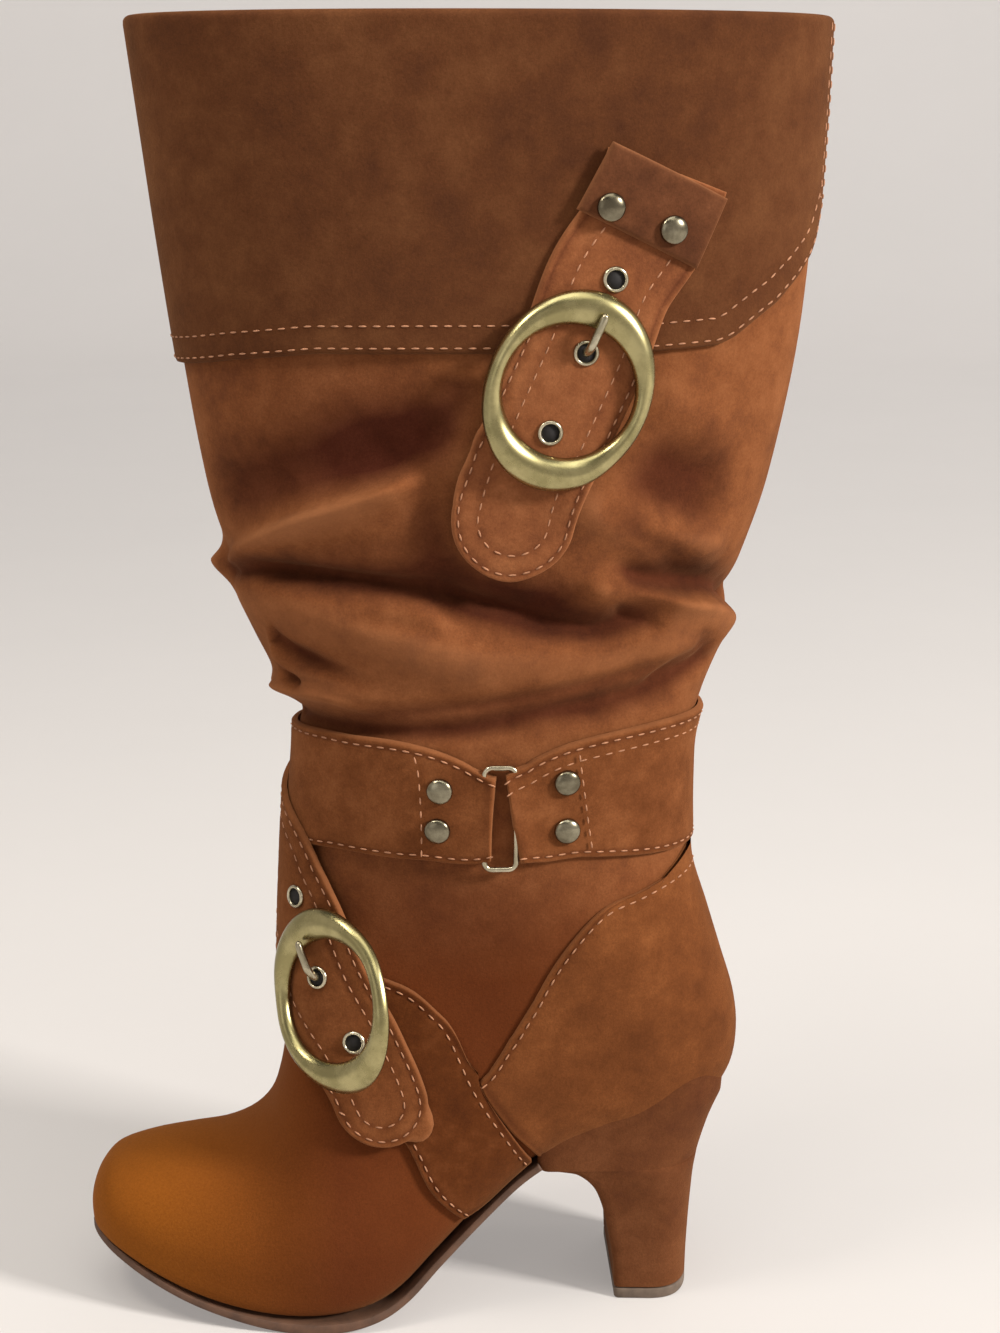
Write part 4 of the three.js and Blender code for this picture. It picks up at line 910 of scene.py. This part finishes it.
clear = 0.3
strapEase = 0.25
strapWall = 2.0
beltEndWall = 4.4
ankleScale = [footLength, instepHeight]
shaftScale = [rimDepth, shaftHeight]
overCuff = clear + cuff["wall"] + clear
overBelt = clear + strapEase + strapWall + clear
cuffTop = overCuff + strapWall + clear
instepTop = overBelt + strapEase + strapWall + clear
cuffStrap = strapSheet("cuffStrapSkin", cuffStrapPath, shaftScale, overCuff, strapWall, suedeStrap,
                       ["cuff_strap"], tail=True, grooves=[(2.4, 0.25), (8.6, 0.3)])
strapSheet("cuffFoldSkin", [cuffStrapPath[0], foldEnd], shaftScale, cuffTop, strapWall, suedeFoldShaded,
           ["cuff_strap_fold"], radius=1.2, puff=0.2)
instepStrap = strapSheet("instepStrapSkin", instepPath, ankleScale, overBelt + strapEase, strapWall,
                         suedeBelt,
                         ["instep_strap"], tail=True, grooves=[(2.4, 0.25), (7.4, 0.3)])
ankleBelt = strapSheet("ankleBeltSkin", beltPath, ankleScale, clear + strapEase, beltEndWall, suedeBelt,
                       ["ankle_belt"], radius=1.0, grooves=[(2.2, 0.2)])
print("straps")


# Shells over a patch of the form, between four lines given in section and angle
def sideLine(points, scale, side, count):
    points = scaled(points, scale)
    steps = lengthsAlong(points)
    steps /= steps[-1]
    f = np.linspace(0, 1, count)
    idx = np.interp(f, steps, np.arange(len(points)))
    smoothPoints = rowAt(points, idx)
    places = np.array([placeOnSide(x, z, side) for x, z in smoothPoints[:, :2]])
    return places


def coons(bottom, top, left, right):
    u = np.linspace(0, 1, len(bottom))[None, :, None]
    v = np.linspace(0, 1, len(left))[:, None, None]
    return ((1 - v) * bottom[None] + v * top[None] + (1 - u) * left[:, None] + u * right[:, None]
            - (1 - u) * (1 - v) * bottom[0] - u * (1 - v) * bottom[-1] - (1 - u) * v * top[0] - u * v
            * top[-1])


def patchShell(name, grid, low, wall, material, nodes, radius=0.8, grooves=()):
    t, a = grid[..., 0], grid[..., 1]
    base = lifted(t, a, low)
    rows, columns = t.shape
    stepRow, stepCol = (np.linalg.norm(np.diff(base, axis=axis), axis=2) for axis in (1, 0))
    alongRow = np.concatenate([np.zeros((rows, 1)), np.cumsum(stepRow, 1)], 1)
    alongCol = np.concatenate([np.zeros((1, columns)), np.cumsum(stepCol, 0)], 0)
    across = np.minimum(alongRow, alongRow[:, -1:] - alongRow)
    distance = np.minimum(across, np.minimum(alongCol, alongCol[-1:] - alongCol))
    rise = wall * roundEdge(distance, radius)
    # Painted highlight along the edges and painted shade in the stitch grooves
    paintedShading = -0.3 * np.exp(-((distance / 0.6) ** 2))
    for where, depth in grooves:
        dip = np.exp(-(((distance - where) / 0.9) ** 2))
        rise = rise - depth * dip
        paintedShading = paintedShading + 0.5 * dip
    top = lifted(t, a, low + np.maximum(rise, 0.02))
    return shell(name, top, base, material, nodes, values=np.clip(paintedShading, -1, 1))


def dense(grid, extra=(0.004, 0.012, 0.025)):
    for axis in (0, 1):
        n = grid.shape[axis] - 1
        f = np.unique(np.concatenate([[0], extra, np.linspace(0.04, 0.96, n), [1 - e for e in extra], [1]]))
        turned = np.moveaxis(grid, axis, 0)
        turned = rowAt(turned.reshape(n + 1, -1), f * n).reshape((len(f),) + turned.shape[1:])
        grid = np.moveaxis(turned, 0, axis)
    return grid


# Heel counter: from its seam on the outer side round the back to the inner side
counter = {"wall": 1.6, "across": 150, "up": 70, "stitchIn": 2.2}
coverLift = 0.012
seamUp = [[x - (0.0035 if z < 1.3 else 0), z] for x, z in counterSeam[::-1]]


def evenly(places, steps, count):
    return np.stack([np.interp(np.linspace(0, steps[-1], count), steps, places[:, k]) for k in (0, 1)], -1)


def fullSeam(side):
    line = sideLine(seamUp[:-1], [footLength, heelHeight], side, 60)
    x, z = heelCoverLine[0]
    start = placeOnSide(x * footLength, (z + coverLift) * heelHeight, side)
    top = np.array([[rowOfHeight(2.352 * heelHeight), 0.0]])
    places = np.concatenate([[start], line, top])
    p = lifted(places[:, 0], places[:, 1], 0.0)
    steps = lengthsAlong(p)
    return evenly(places, steps, counter["up"])


def coverAll(count, lift=coverLift):
    line = [[x, z + lift] for x, z in heelCoverLine[:-1]]
    outer = sideLine(line, [footLength, heelHeight], 1, 50)
    inner = sideLine(line, [footLength, heelHeight], -1, 50)
    back = placeOnSide(0.36 * footLength, (heelCoverLine[-2][1] + 0.03 + lift) * heelHeight, 0)
    places = np.concatenate([outer, [back], inner[::-1]])
    p = lifted(places[:, 0], places[:, 1], 0.0)
    keep = np.concatenate([[True], np.linalg.norm(np.diff(p, axis=0), axis=1) > 0.05])
    places, p = places[keep], p[keep]
    steps = lengthsAlong(p)
    return evenly(places, steps, count)


seamOut, seamIn = fullSeam(1), fullSeam(-1)
topPoint = seamOut[-1]
coverRow = coverAll(counter["across"])
coverRow[0], coverRow[-1] = seamOut[0], seamIn[0]
topRow = np.repeat(topPoint[None], counter["across"], 0)
counterGrid = dense(coons(coverRow, topRow, seamOut, seamIn), extra=(0.0015, 0.004, 0.008, 0.014, 0.022))
patchShell("counterSkin", counterGrid, clear, counter["wall"], suedeCounter, ["heel_counter"],
           grooves=[(counter["stitchIn"], 0.2)])
print("counter")

# Shank strap: from under the instep buckle down to the arch
shank = {"wall": 2.0, "low": 0.3}


def shankLine(points):
    return sideLine(points, [footLength, heelHeight], 1, 40)


rearEdge = shankLine([
    [-0.19, 1.85], [-0.138, 1.79], [-0.101, 1.69], [-0.0725, 1.575], [-0.0365, 1.29], [0.011, 1.02], [0.04,
                                                                                                      0.85],
])[::-1]
frontEdge = shankLine([[-0.066, 0.56], [-0.112, 0.755], [-0.147, 1.01], [-0.21, 1.3], [-0.235, 1.45]])
bottomEdge = shankLine([[-0.066, 0.56], [-0.03, 0.62], [0.01, 0.74], [0.04, 0.84]])
topEdge = shankLine([[-0.235, 1.45], [-0.225, 1.65], [-0.19, 1.85]])
bottomEdge[0], bottomEdge[-1] = frontEdge[0], rearEdge[0]
topEdge[0], topEdge[-1] = frontEdge[-1], rearEdge[-1]
shankGrid = dense(coons(bottomEdge, topEdge, frontEdge, rearEdge))
patchShell("shankSkin", shankGrid, shank["low"], shank["wall"], suedeShankShaded, ["shank_strap"],
           grooves=[(2.4, 0.22)])

# Outsole
outsole = {"wall": 2.2, "thin": 0.9, "edge": -0.4, "top": 1.4, "rows": 150}
soleRows = scaled(soleStations, [footLength, heelHeight, ballWidth, ballWidth])
su = np.concatenate([[0, 0.01, 0.04, 0.1, 0.2, 0.35], np.linspace(0.5, len(soleRows) - 1.14,
                                                                  outsole["rows"])])
stations = rowAt(soleRows, su)
run = (rowAt(soleRows, np.minimum(su + 0.1, len(soleRows) - 1)) - rowAt(soleRows, np.maximum(su - 0.1,
                                                                                             0)))[:, :2]
run /= np.linalg.norm(run, axis=1, keepdims=True)
rings = []
for (x, z, outer, inner), (rx, rz) in zip(stations, run):
    o, i = outer + outsole["edge"] - 0.3, inner + outsole["edge"] - 0.3
    ball = math.exp(-(((x / footLength + 0.294) / 0.11) ** 2))
    top, low = outsole["top"], -0.3 - outsole["thin"] - (outsole["wall"] - outsole["thin"]) * ball
    middle, half = (i - o) / 2, (i + o) / 2
    pts = []
    corner = min(0.9, half * 0.5)
    for q in np.radians([180, 202, 225, 247, 270]):
        pts.append((-half + corner + corner * math.cos(q), low + corner + corner * math.sin(q)))
    for f in np.linspace(0.08, 0.92, 9):
        pts.append((-half + 2 * half * f, low))
    for q in np.radians([270, 292, 315, 337, 360]):
        pts.append((half - corner + corner * math.cos(q), low + corner + corner * math.sin(q)))
    pts += [(half, top - 0.2), (half - 0.3, top)]
    for f in np.linspace(0.92, 0.08, 9):
        pts.append((-half + 2 * half * f, top))
    pts += [(-half + 0.3, top), (-half, top - 0.2)]
    rings.append([[x - rz * h, middle + w, max(z + rx * h, 0.0)] for w, h in pts])
rings = np.array(rings)
faces = cappedFaces(*rings.shape[:2])
makeObject("outsoleSkin", rings, outward(rings, faces), soleTan, ["outsole"])
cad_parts["insole"].data.materials.clear()
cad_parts["insole"].data.materials.append(liningTan)
print("sole")

# Heel: the covered column, its cup round the heel seat, and the top lift
heel = {"round": 2.7, "sides": 72, "rows": 60, "lift": 3.9}
heelRows = scaled(heelStations, [heelHeight, heelHeight, heelHeight, ballWidth])


def heelOutline(z, breast, back, half):
    q = np.radians(np.linspace(-90, 90, heel["sides"]))
    middle = breast + 0.45 * (back - breast)
    reach = np.maximum(np.cos(q), 0) ** (2 / heel["round"])
    across = np.sign(np.sin(q)) * np.abs(np.sin(q)) ** (2 / heel["round"])
    rear = np.stack([middle + (back - middle) * reach, half * across, np.full(len(q), z)], -1)
    corner = 1.2
    side = [[middle + (breast + corner - middle) * f, half * (1 - 0.03 * f)] for f in (0.4, 0.8, 1.0)]
    bend = [[breast + corner * 0.3, half * 0.96 - corner * 0.3], [breast, half * 0.96 - corner]]
    front = side + bend + [[breast, half * f] for f in np.linspace(0.8, -0.8, 9)]
    front += [[x, -y] for x, y in bend[::-1]] + [[x, -y] for x, y in side[::-1]]
    return np.concatenate([rear, np.array([[x, y, z] for x, y in front])])


seatT, seatA = np.meshgrid(np.linspace(11, 19, 60), np.linspace(-110, 110, 90), indexing="ij")
seatPoints = lifted(seatT, seatA, clear + 0.6).reshape(-1, 3)
seatTree = BVHTree.FromPolygons(seatPoints.tolist(), [tuple(int(i) for i in f) for f in gridFaces(60, 90)])


def seatAbove(point):
    hit = seatTree.ray_cast(Vector((point[0], point[1], -50)), Vector((0, 0, 1)))[0]
    return hit[2] if hit else seatTree.find_nearest(Vector(point))[0][2]


def column(levels):
    rings = []
    for u, inset in levels:
        z, breast, back, half = rowAt(heelRows, u)
        rings.append(heelOutline(z, breast + inset, back - inset, half - inset))
    for ring in rings:
        for point in ring:
            point[2] = min(point[2], seatAbove(point))
    for point in rings[-1]:
        point[2] = seatAbove(point)
    return np.array(rings)


start = np.interp(heel["lift"] + 0.3, heelRows[:, 0], np.arange(len(heelRows)))
levels = [(start, 0.7), (start + 0.01, 0.35), (start + 0.03, 0.12), (start + 0.06, 0)]
levels += [(u, 0) for u in np.linspace(start + 0.1, len(heelRows) - 1, heel["rows"])]
rings = column(levels)
faces = cappedFaces(*rings.shape[:2])
makeObject("heelColumn", rings, outward(rings, faces), suedeHeel, ["heel_block"])
rings = []
_, breast, back, half = heelRows[0]
for z, inset in ((0, 0.5), (0.2, 0.15), (0.5, 0), (3.4, 0), (3.8, 0.15), (heel["lift"], 0.5)):
    rings.append(heelOutline(z, breast + inset, back - inset, half - inset))
rings = np.array(rings)
faces = cappedFaces(*rings.shape[:2])
makeObject("topLiftSkin", rings, outward(rings, faces), liftGrey, ["heel_top_lift"])

cup = {"front": 12.1, "across": 120, "deep": 44}


def frontLine(count, outerEnd, innerEnd):
    fine = np.linspace(11.5, 19, 300)
    places = []
    for angle in np.linspace(outerEnd, innerEnd, count):
        x = cadSurface(fine, np.full(300, angle))[:, 0]
        places.append([np.interp(cup["front"], x, fine), angle])
    return np.array(places)


cupBack = coverAll(cup["across"], lift=-0.004)
cupFront = frontLine(cup["across"], cupBack[0, 1], cupBack[-1, 1])
share = np.concatenate([[0, 0.004, 0.012, 0.025], np.linspace(0.05, 0.95, cup["deep"]), [0.975, 0.988, 0.996,
                                                                                         1]])
share = share[:, None, None]
cupGrid = (1 - share) * cupFront[None] + share * cupBack[None]
patchShell("heelCup", cupGrid, clear, counter["wall"], suedeHeel, ["heel_block"], radius=0.5)
print("heel")


# Fittings
def ringShape(f, length, width, hole, rise, turns=120):
    band = np.array([
        [0, 0.12], [0.02, 0.35], [0.1, 0.62], [0.22, 0.84], [0.38, 0.98], [0.52, 1.0], [0.68, 0.93],
        [0.82, 0.76], [0.93, 0.5], [0.985, 0.25], [1.0, 0.08], [0.96, 0.0], [0.5, 0.0], [0.04, 0.0],
    ])
    q = np.linspace(0, 2 * np.pi, turns, endpoint=False)

    def heightAt(u, v):
        t, a = walk(np.full(u.shape, f["t"]), np.full(u.shape, f["a"]), f["run"], u)
        t, a = walk(t, a, f["across"], v)
        return ((lifted(t, a, f["height"]) - f["origin"]) * f["out"]).sum(-1)

    fine = np.linspace(-length / 2 - 1, length / 2 + 1, 41)
    drop = np.max([heightAt(fine, np.full(41, share * strapHalf)) for share in (-1, 0, 1)], axis=0)
    drop = np.convolve(np.pad(drop, 3, mode="edge"), np.ones(7) / 7, mode="valid")
    rings = []
    for share, up in band:
        u = (hole / 2 + (length / 2 - hole / 2) * share) * np.cos(q)
        v = (hole / 2 + (width / 2 - hole / 2) * share) * np.sin(q)
        rings.append(f["origin"] + u[:, None] * f["run"] + v[:, None] * f["across"]
                     + (np.interp(u, fine, drop) + up * rise)[:, None] * f["out"])
    rings = np.moveaxis(np.array(rings), 0, 1)
    return rings.reshape(-1, 3), loopFaces(turns, len(band))


fittings = {"ring": [62.4, 51.0, 40.5, 3.6], "stud": [4.3, 2.7], "eyelet": [4.0, 2.75]}
cuffRingFrame = frameAt(cuffRingPlace, cuffEyelets[0], shaftScale, cuffTop + 0.5)
instepRingFrame = frameAt(instepRingPlace, instepEyelets[0], ankleScale, instepTop + 1.0, -18)
for name, f in (("cuff_ring", cuffRingFrame), ("instep_ring", instepRingFrame)):
    points, faces = ringShape(f, *fittings["ring"])
    makeObject(name + "Skin", points, outward(points, faces), brass, [name])

cuffFrames = [
    frameAt(p, q, shaftScale, cuffTop) for p, q in zip(cuffEyelets, [cuffStrapPath[0], *cuffEyelets])
]
instepFrames = [
    frameAt(p, q, ankleScale, instepTop) for p, q in zip(instepEyelets, [instepPath[3], *instepEyelets])
]
outerR, holeR = fittings["eyelet"]
rim = [
    [holeR, -1.6], [holeR, 0.2], [holeR + 0.12, 0.55], [holeR + 0.42, 0.8], [holeR + 0.75, 0.72],
    [outerR - 0.1, 0.35], [outerR, 0.0], [outerR - 0.2, -0.25], [holeR + 0.3, -0.3], [holeR + 0.3, -1.6],
]
# Near-black cup inside each eyelet: painted shade standing in for the shade in the hole
hollow = [[0.01, -0.14], [holeR + 0.04, -0.14], [holeR + 0.04, -1.5], [0.01, -1.5]]
for kind, frames in (("cuff", cuffFrames), ("instep", instepFrames)):
    for i, f in enumerate(frames):
        points, faces = lathe(rim, basis(f))
        node = f"{kind}_eyelet_{i + 1}"
        makeObject(f"{kind}Eyelet{i + 1}", points, outward(points, faces), nickel, [node])
        points, faces = lathe(hollow, basis(f))
        makeObject(f"{kind}Hole{i + 1}", points, outward(points, faces), holeShade)
    f = frames[1]
    top = fittings["ring"][3] + 2.3
    shape = np.array([
        [0.2, -1.0], [0.35, 0.6], [1.2, 2.2], [3.2, 0.5 * top + 1.2], [6.5, top - 0.9], [10, top - 0.1],
        [13.4, top],
    ])
    fineShape = rowAt(shape, np.linspace(0, len(shape) - 1, 50))
    line = f["origin"] + fineShape[:, :1] * f["run"] + fineShape[:, 1:] * f["out"]
    radius = np.interp(np.linspace(0, 1, 50), [0, 0.9, 0.96, 1], [1.45, 1.25, 1.0, 0.25])
    points, faces = tube(line, radius, 16)
    makeObject(f"{kind}ProngSkin", points, outward(points, faces), nickel, [f"{kind}_prong"])

studR, studH = fittings["stud"]
q = np.radians(np.linspace(90, 0, 12))
dome = [[studR * math.cos(a) + 0.01, studH * (0.28 + 0.72 * math.sin(a))] for a in q]
dome += [[studR, 0.1], [studR - 0.4, 0.0], [0.01, 0.0]]
studFrames = {
    "cuff": [frameAt(p, cuffEyelets[0], shaftScale, cuffTop + strapWall + clear) for p in cuffStuds],
    "ankle": [frameAt(p, beltRingPlace, ankleScale, overBelt) for p in beltStuds],
}
for kind, frames in studFrames.items():
    for i, f in enumerate(frames, 1):
        points, faces = lathe(dome, basis(f))
        node = f"{kind}_stud_{i}"
        makeObject(f"{kind}Stud{i}", points, outward(points, faces), studMetal, [node])

wire = {"radius": 0.9, "long": 17.4, "wide": 5.2, "bend": 2.6}
wireFrame = frameAt(beltRingPlace, [beltRingPlace[0], beltRingPlace[1] + 0.3], ankleScale,
                    clear + strapEase + beltEndWall / 2)
corners = []
for cx, cy, q0 in ((1, 1, 0), (-1, 1, 90), (-1, -1, 180), (1, -1, 270)):
    for q in np.radians(np.linspace(q0, q0 + 90, 8)):
        along = cx * (wire["long"] - wire["bend"]) + wire["bend"] * math.cos(q)
        corners.append([along, cy * (wire["wide"] - wire["bend"]) + wire["bend"] * math.sin(q)])
corners = np.array(corners)
line = wireFrame["origin"] + corners[:, :1] * wireFrame["run"] + corners[:, 1:] * wireFrame["across"]
points, faces = tube(line, wire["radius"], 14, closed=True)
makeObject("wireRing", points, outward(points, faces), nickel, ["ankle_ring"])
print("fittings")


# Stitches: one Geometry Nodes tree that lays short threads along every row
thread = {"pitch": 4.3, "length": 2.5, "radius": 0.3}


def offsetLine(places, distance, height):
    t, a = places[:, 0], places[:, 1]
    p = cadSurface(t, a)
    run = np.gradient(p, axis=0)
    run /= np.linalg.norm(run, axis=1, keepdims=True)
    n, _, _ = normals(cadSurface, t, a)
    side = np.cross(n, run)
    side /= np.linalg.norm(side, axis=1, keepdims=True)
    return lifted(*walk(t, a, side, distance), height)


def strapRow(strap, inset, above, start=0.0):
    half = rowAt(strap["rows"], float(len(strap["rows"]) - 1))[3]
    straight = np.linspace(start, strap["total"] - half, 120)
    bend = np.radians(np.linspace(90, -90, 50))
    tip = strap["total"] - half + (half - inset) * np.cos(bend)
    run, fine = strap["run"]
    widths = rowAt(strap["rows"], np.interp(straight, run, fine))[:, 3] - inset
    off = np.concatenate([widths, (half - inset) * np.sin(bend), -widths[::-1]])
    return onStrap(strap, np.concatenate([straight, tip, straight[::-1]]), off, above)


stitchLines = []
cuffIn, counterIn, shankIn = -1, -1, 1
edgeT = np.array([cuffEdgeRow(f) for f in fractions])
edgeA = np.array([cuffAngle(np.array([r]), f)[0] for r, f in zip(edgeT, fractions)])
downT = np.linspace(lastRow - 0.05, edgeT[0], 60)[:-1]
rearOut = np.stack([downT, cuffAngle(downT, 0.0)], -1)
rearIn = np.stack([downT[::-1], cuffAngle(downT[::-1], 1.0)], -1)
cuffLine = np.concatenate([rearOut, np.stack([edgeT, edgeA], -1), rearIn])
cuffFace = cuff["gap"] + cuff["wall"] + 0.12
stitchLines += [offsetLine(cuffLine, cuffIn * d, cuffFace) for d in (1.9, 8.6)]
stitchLines += [strapRow(cuffStrap, 2.4, 1.9, start=62), strapRow(cuffStrap, 8.6, 1.85, start=16)]
stitchLines += [strapRow(instepStrap, 2.4, 1.9), strapRow(instepStrap, 7.4, 1.85)]


def beltRow(inset, side, start=0.0, stop=1.0):
    length = np.linspace(1.0 + start * ankleBelt["total"], stop * ankleBelt["total"] - 1.0, 400)
    run, fine = ankleBelt["run"]
    row = rowAt(ankleBelt["rows"], np.interp(length, run, fine))
    return onStrap(ankleBelt, length, side * (row[:, 3] - inset), row[:, 4] * beltEndWall - 0.05)


stitchLines += [beltRow(2.2, -1), beltRow(2.2, 1), beltRow(6.4, -1, start=0.55)]
acrossBelt = np.linspace(-15.5, 15.5, 30)
for away, lean in ((23.4, -0.235), (ankleBelt["total"] - 24.2, 0.0)):
    stitchLines.append(onStrap(ankleBelt, away + lean * acrossBelt, acrossBelt, 3.2))
seamHigh = lifted(seamOut[:, 0], seamOut[:, 1], 0.0)[:, 2] > 1.32 * heelHeight
seamLine = seamOut[seamHigh][:-2]
stitchLines.append(offsetLine(seamLine, counterIn * counter["stitchIn"], clear + counter["wall"] + 0.1))
seamLine = seamIn[2:-2]
stitchLines.append(offsetLine(seamLine, -counterIn * counter["stitchIn"], clear + counter["wall"] + 0.1))
stitchLines.append(offsetLine(rearEdge[1:-1], shankIn * 2.4, shank["low"] + shank["wall"] + 0.1))
stitchLines.append(offsetLine(frontEdge[1:-1], -shankIn * 2.4, shank["low"] + shank["wall"] + 0.1))


def stitchTree(material):
    tree = bpy.data.node_groups.new("stitchRow", "GeometryNodeTree")
    tree.interface.new_socket("Geometry", in_out="INPUT", socket_type="NodeSocketGeometry")
    for label in ("Pitch", "Length", "Radius"):
        tree.interface.new_socket(label, in_out="INPUT", socket_type="NodeSocketFloat")
    tree.interface.new_socket("Geometry", in_out="OUTPUT", socket_type="NodeSocketGeometry")
    node = tree.nodes.new
    link = tree.links.new
    given, result = node("NodeGroupInput"), node("NodeGroupOutput")
    curve, points = node("GeometryNodeMeshToCurve"), node("GeometryNodeCurveToPoints")
    points.mode = "LENGTH"
    ball = node("GeometryNodeMeshUVSphere")
    ball.inputs["Segments"].default_value = 8
    ball.inputs["Rings"].default_value = 6
    ball.inputs["Radius"].default_value = 1.0
    size, half = node("ShaderNodeCombineXYZ"), node("ShaderNodeMath")
    half.operation = "MULTIPLY"
    half.inputs[1].default_value = 0.5
    place, real = node("GeometryNodeInstanceOnPoints"), node("GeometryNodeRealizeInstances")
    finish = node("GeometryNodeSetMaterial")
    smoothIt = node("GeometryNodeSetShadeSmooth")
    finish.inputs["Material"].default_value = material
    link(given.outputs["Geometry"], curve.inputs["Mesh"])
    link(curve.outputs["Curve"], points.inputs["Curve"])
    link(given.outputs["Pitch"], points.inputs["Length"])
    link(given.outputs["Length"], half.inputs[0])
    link(given.outputs["Radius"], size.inputs["X"])
    link(given.outputs["Radius"], size.inputs["Y"])
    link(half.outputs[0], size.inputs["Z"])
    link(points.outputs["Points"], place.inputs["Points"])
    link(ball.outputs["Mesh"], place.inputs["Instance"])
    link(points.outputs["Rotation"], place.inputs["Rotation"])
    link(size.outputs[0], place.inputs["Scale"])
    link(place.outputs["Instances"], real.inputs["Geometry"])
    link(real.outputs["Geometry"], smoothIt.inputs["Geometry"])
    link(smoothIt.outputs["Geometry"], finish.inputs["Geometry"])
    link(finish.outputs["Geometry"], result.inputs["Geometry"])
    return tree


def fromLines(name, lines, tree, values):
    points, edges, start = [], [], 0
    for line in lines:
        points.append(line)
        edges += [(start + i, start + i + 1) for i in range(len(line) - 1)]
        start += len(line)
    mesh = bpy.data.meshes.new(name + "Path")
    mesh.from_pydata(((np.concatenate(points) + shift) / 1000).tolist(), edges, [])
    path = bpy.data.objects.new(name + "Path", mesh)
    bpy.context.scene.collection.objects.link(path)
    modifier = path.modifiers.new("stitches", "NODES")
    modifier.node_group = tree
    for socket in tree.interface.items_tree:
        if socket.in_out == "INPUT" and socket.name in values:
            modifier[socket.identifier] = values[socket.name]
    depsgraph = bpy.context.evaluated_depsgraph_get()
    made = bpy.data.meshes.new_from_object(path.evaluated_get(depsgraph))
    made.name = name
    obj = bpy.data.objects.new(name, made)
    bpy.context.scene.collection.objects.link(obj)
    bpy.data.objects.remove(path)
    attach(obj, "root")
    return obj


stitchSizes = {key.capitalize(): value / 1000 for key, value in thread.items()}
fromLines("stitches", stitchLines, stitchTree(threadTan), stitchSizes)
print("stitches")

# Floor, light and camera
studio = {"floor": (0.44, 0.418, 0.402), "glow": 0.58, "world": (1.0, 0.97, 0.95), "worldStrength": 0.05}
floorMaterial = grainMaterial("floorPale", studio["floor"], 0.9, scale=3.0, spread=0.012, bump=0)
floorShader = floorMaterial.node_tree.nodes["Principled BSDF"]
floorShader.inputs["Emission Color"].default_value = (*studio["floor"], 1)
floorShader.inputs["Emission Strength"].default_value = studio["glow"]
stage = {"flat": 3.0, "bend": 1.2, "high": 3.6, "around": 64}
profile = [(0.001, 0.0), (stage["flat"], 0.0)]
for q in np.linspace(0, math.pi / 2, 24)[1:]:
    profile.append((stage["flat"] + stage["bend"] * math.sin(q), stage["bend"] * (1 - math.cos(q))))
profile.append((stage["flat"] + stage["bend"], stage["high"]))
turn = np.linspace(0, 2 * math.pi, stage["around"], endpoint=False)
dish = [(r * math.cos(q), r * math.sin(q), z) for r, z in profile for q in turn]
mesh = bpy.data.meshes.new("floor")
dishFaces = [tuple(int(i) for i in f)[::-1] for f in gridFaces(len(profile), stage["around"], wrap=True)]
mesh.from_pydata(dish, [], dishFaces + [tuple(range(stage["around"]))])
mesh.polygons.foreach_set("use_smooth", [True] * len(mesh.polygons))
mesh.materials.append(floorMaterial)
floor = bpy.data.objects.new("floor", mesh)
bpy.context.scene.collection.objects.link(floor)


def softLight(name, place, target, size, power, colour=(1, 1, 1)):
    data = bpy.data.lights.new(name, "AREA")
    data.shape = "RECTANGLE"
    data.size, data.size_y = size
    data.energy = power
    data.color = colour
    light = bpy.data.objects.new(name, data)
    bpy.context.scene.collection.objects.link(light)
    light.location = place
    direction = Vector(target) - Vector(place)
    light.rotation_euler = direction.to_track_quat("-Z", "Y").to_euler()
    return light


softLight("keyLight", (2.55, -1.35, 1.75), (0, 0, 0.2), (0.55, 0.55), 150, (1, 0.97, 0.93))
softLight("topLight", (-0.5, -0.25, 1.0), (-0.08, 0, 0.03), (0.25, 0.25), 3.4, (1, 0.94, 0.85))
softLight("fillLight", (-1.2, -1.5, 0.7), (0, 0, 0.2), (1.0, 1.2), 2)
softLight("shineLight", (0.55, -0.95, 1.65), (0.0, 0, 0.32), (0.8, 0.45), 2.5, (1, 0.98, 0.88))
softLight("ceilingLight", (0.0, -0.22, 1.5), (0.0, 0.0, 0.2), (0.9, 0.9), 8, (1, 0.98, 0.92))
softLight("backLight", (0.9, 2.3, 3.1), (1.2, 4.2, 0.9), (3.0, 1.0), 34)
world = bpy.data.worlds.new("studio")
world.use_nodes = True
world.node_tree.nodes["Background"].inputs["Color"].default_value = (*studio["world"], 1)
world.node_tree.nodes["Background"].inputs["Strength"].default_value = studio["worldStrength"]
bpy.context.scene.world = world
bpy.context.scene.view_settings.view_transform = "Standard"
bpy.context.scene.view_settings.look = "None"

cameraData = bpy.data.cameras.new("camera")
cameraData.sensor_fit = "VERTICAL"
cameraData.sensor_height = 36.0
cameraData.lens = 36.0 * 2198 / 1333
camera = bpy.data.objects.new("camera", cameraData)
bpy.context.scene.collection.objects.link(camera)
camera.location = (-0.00674, -0.71668, 0.404)
camera.rotation_euler = (math.radians(76), 0, math.radians(-2.2))
bpy.context.scene.camera = camera
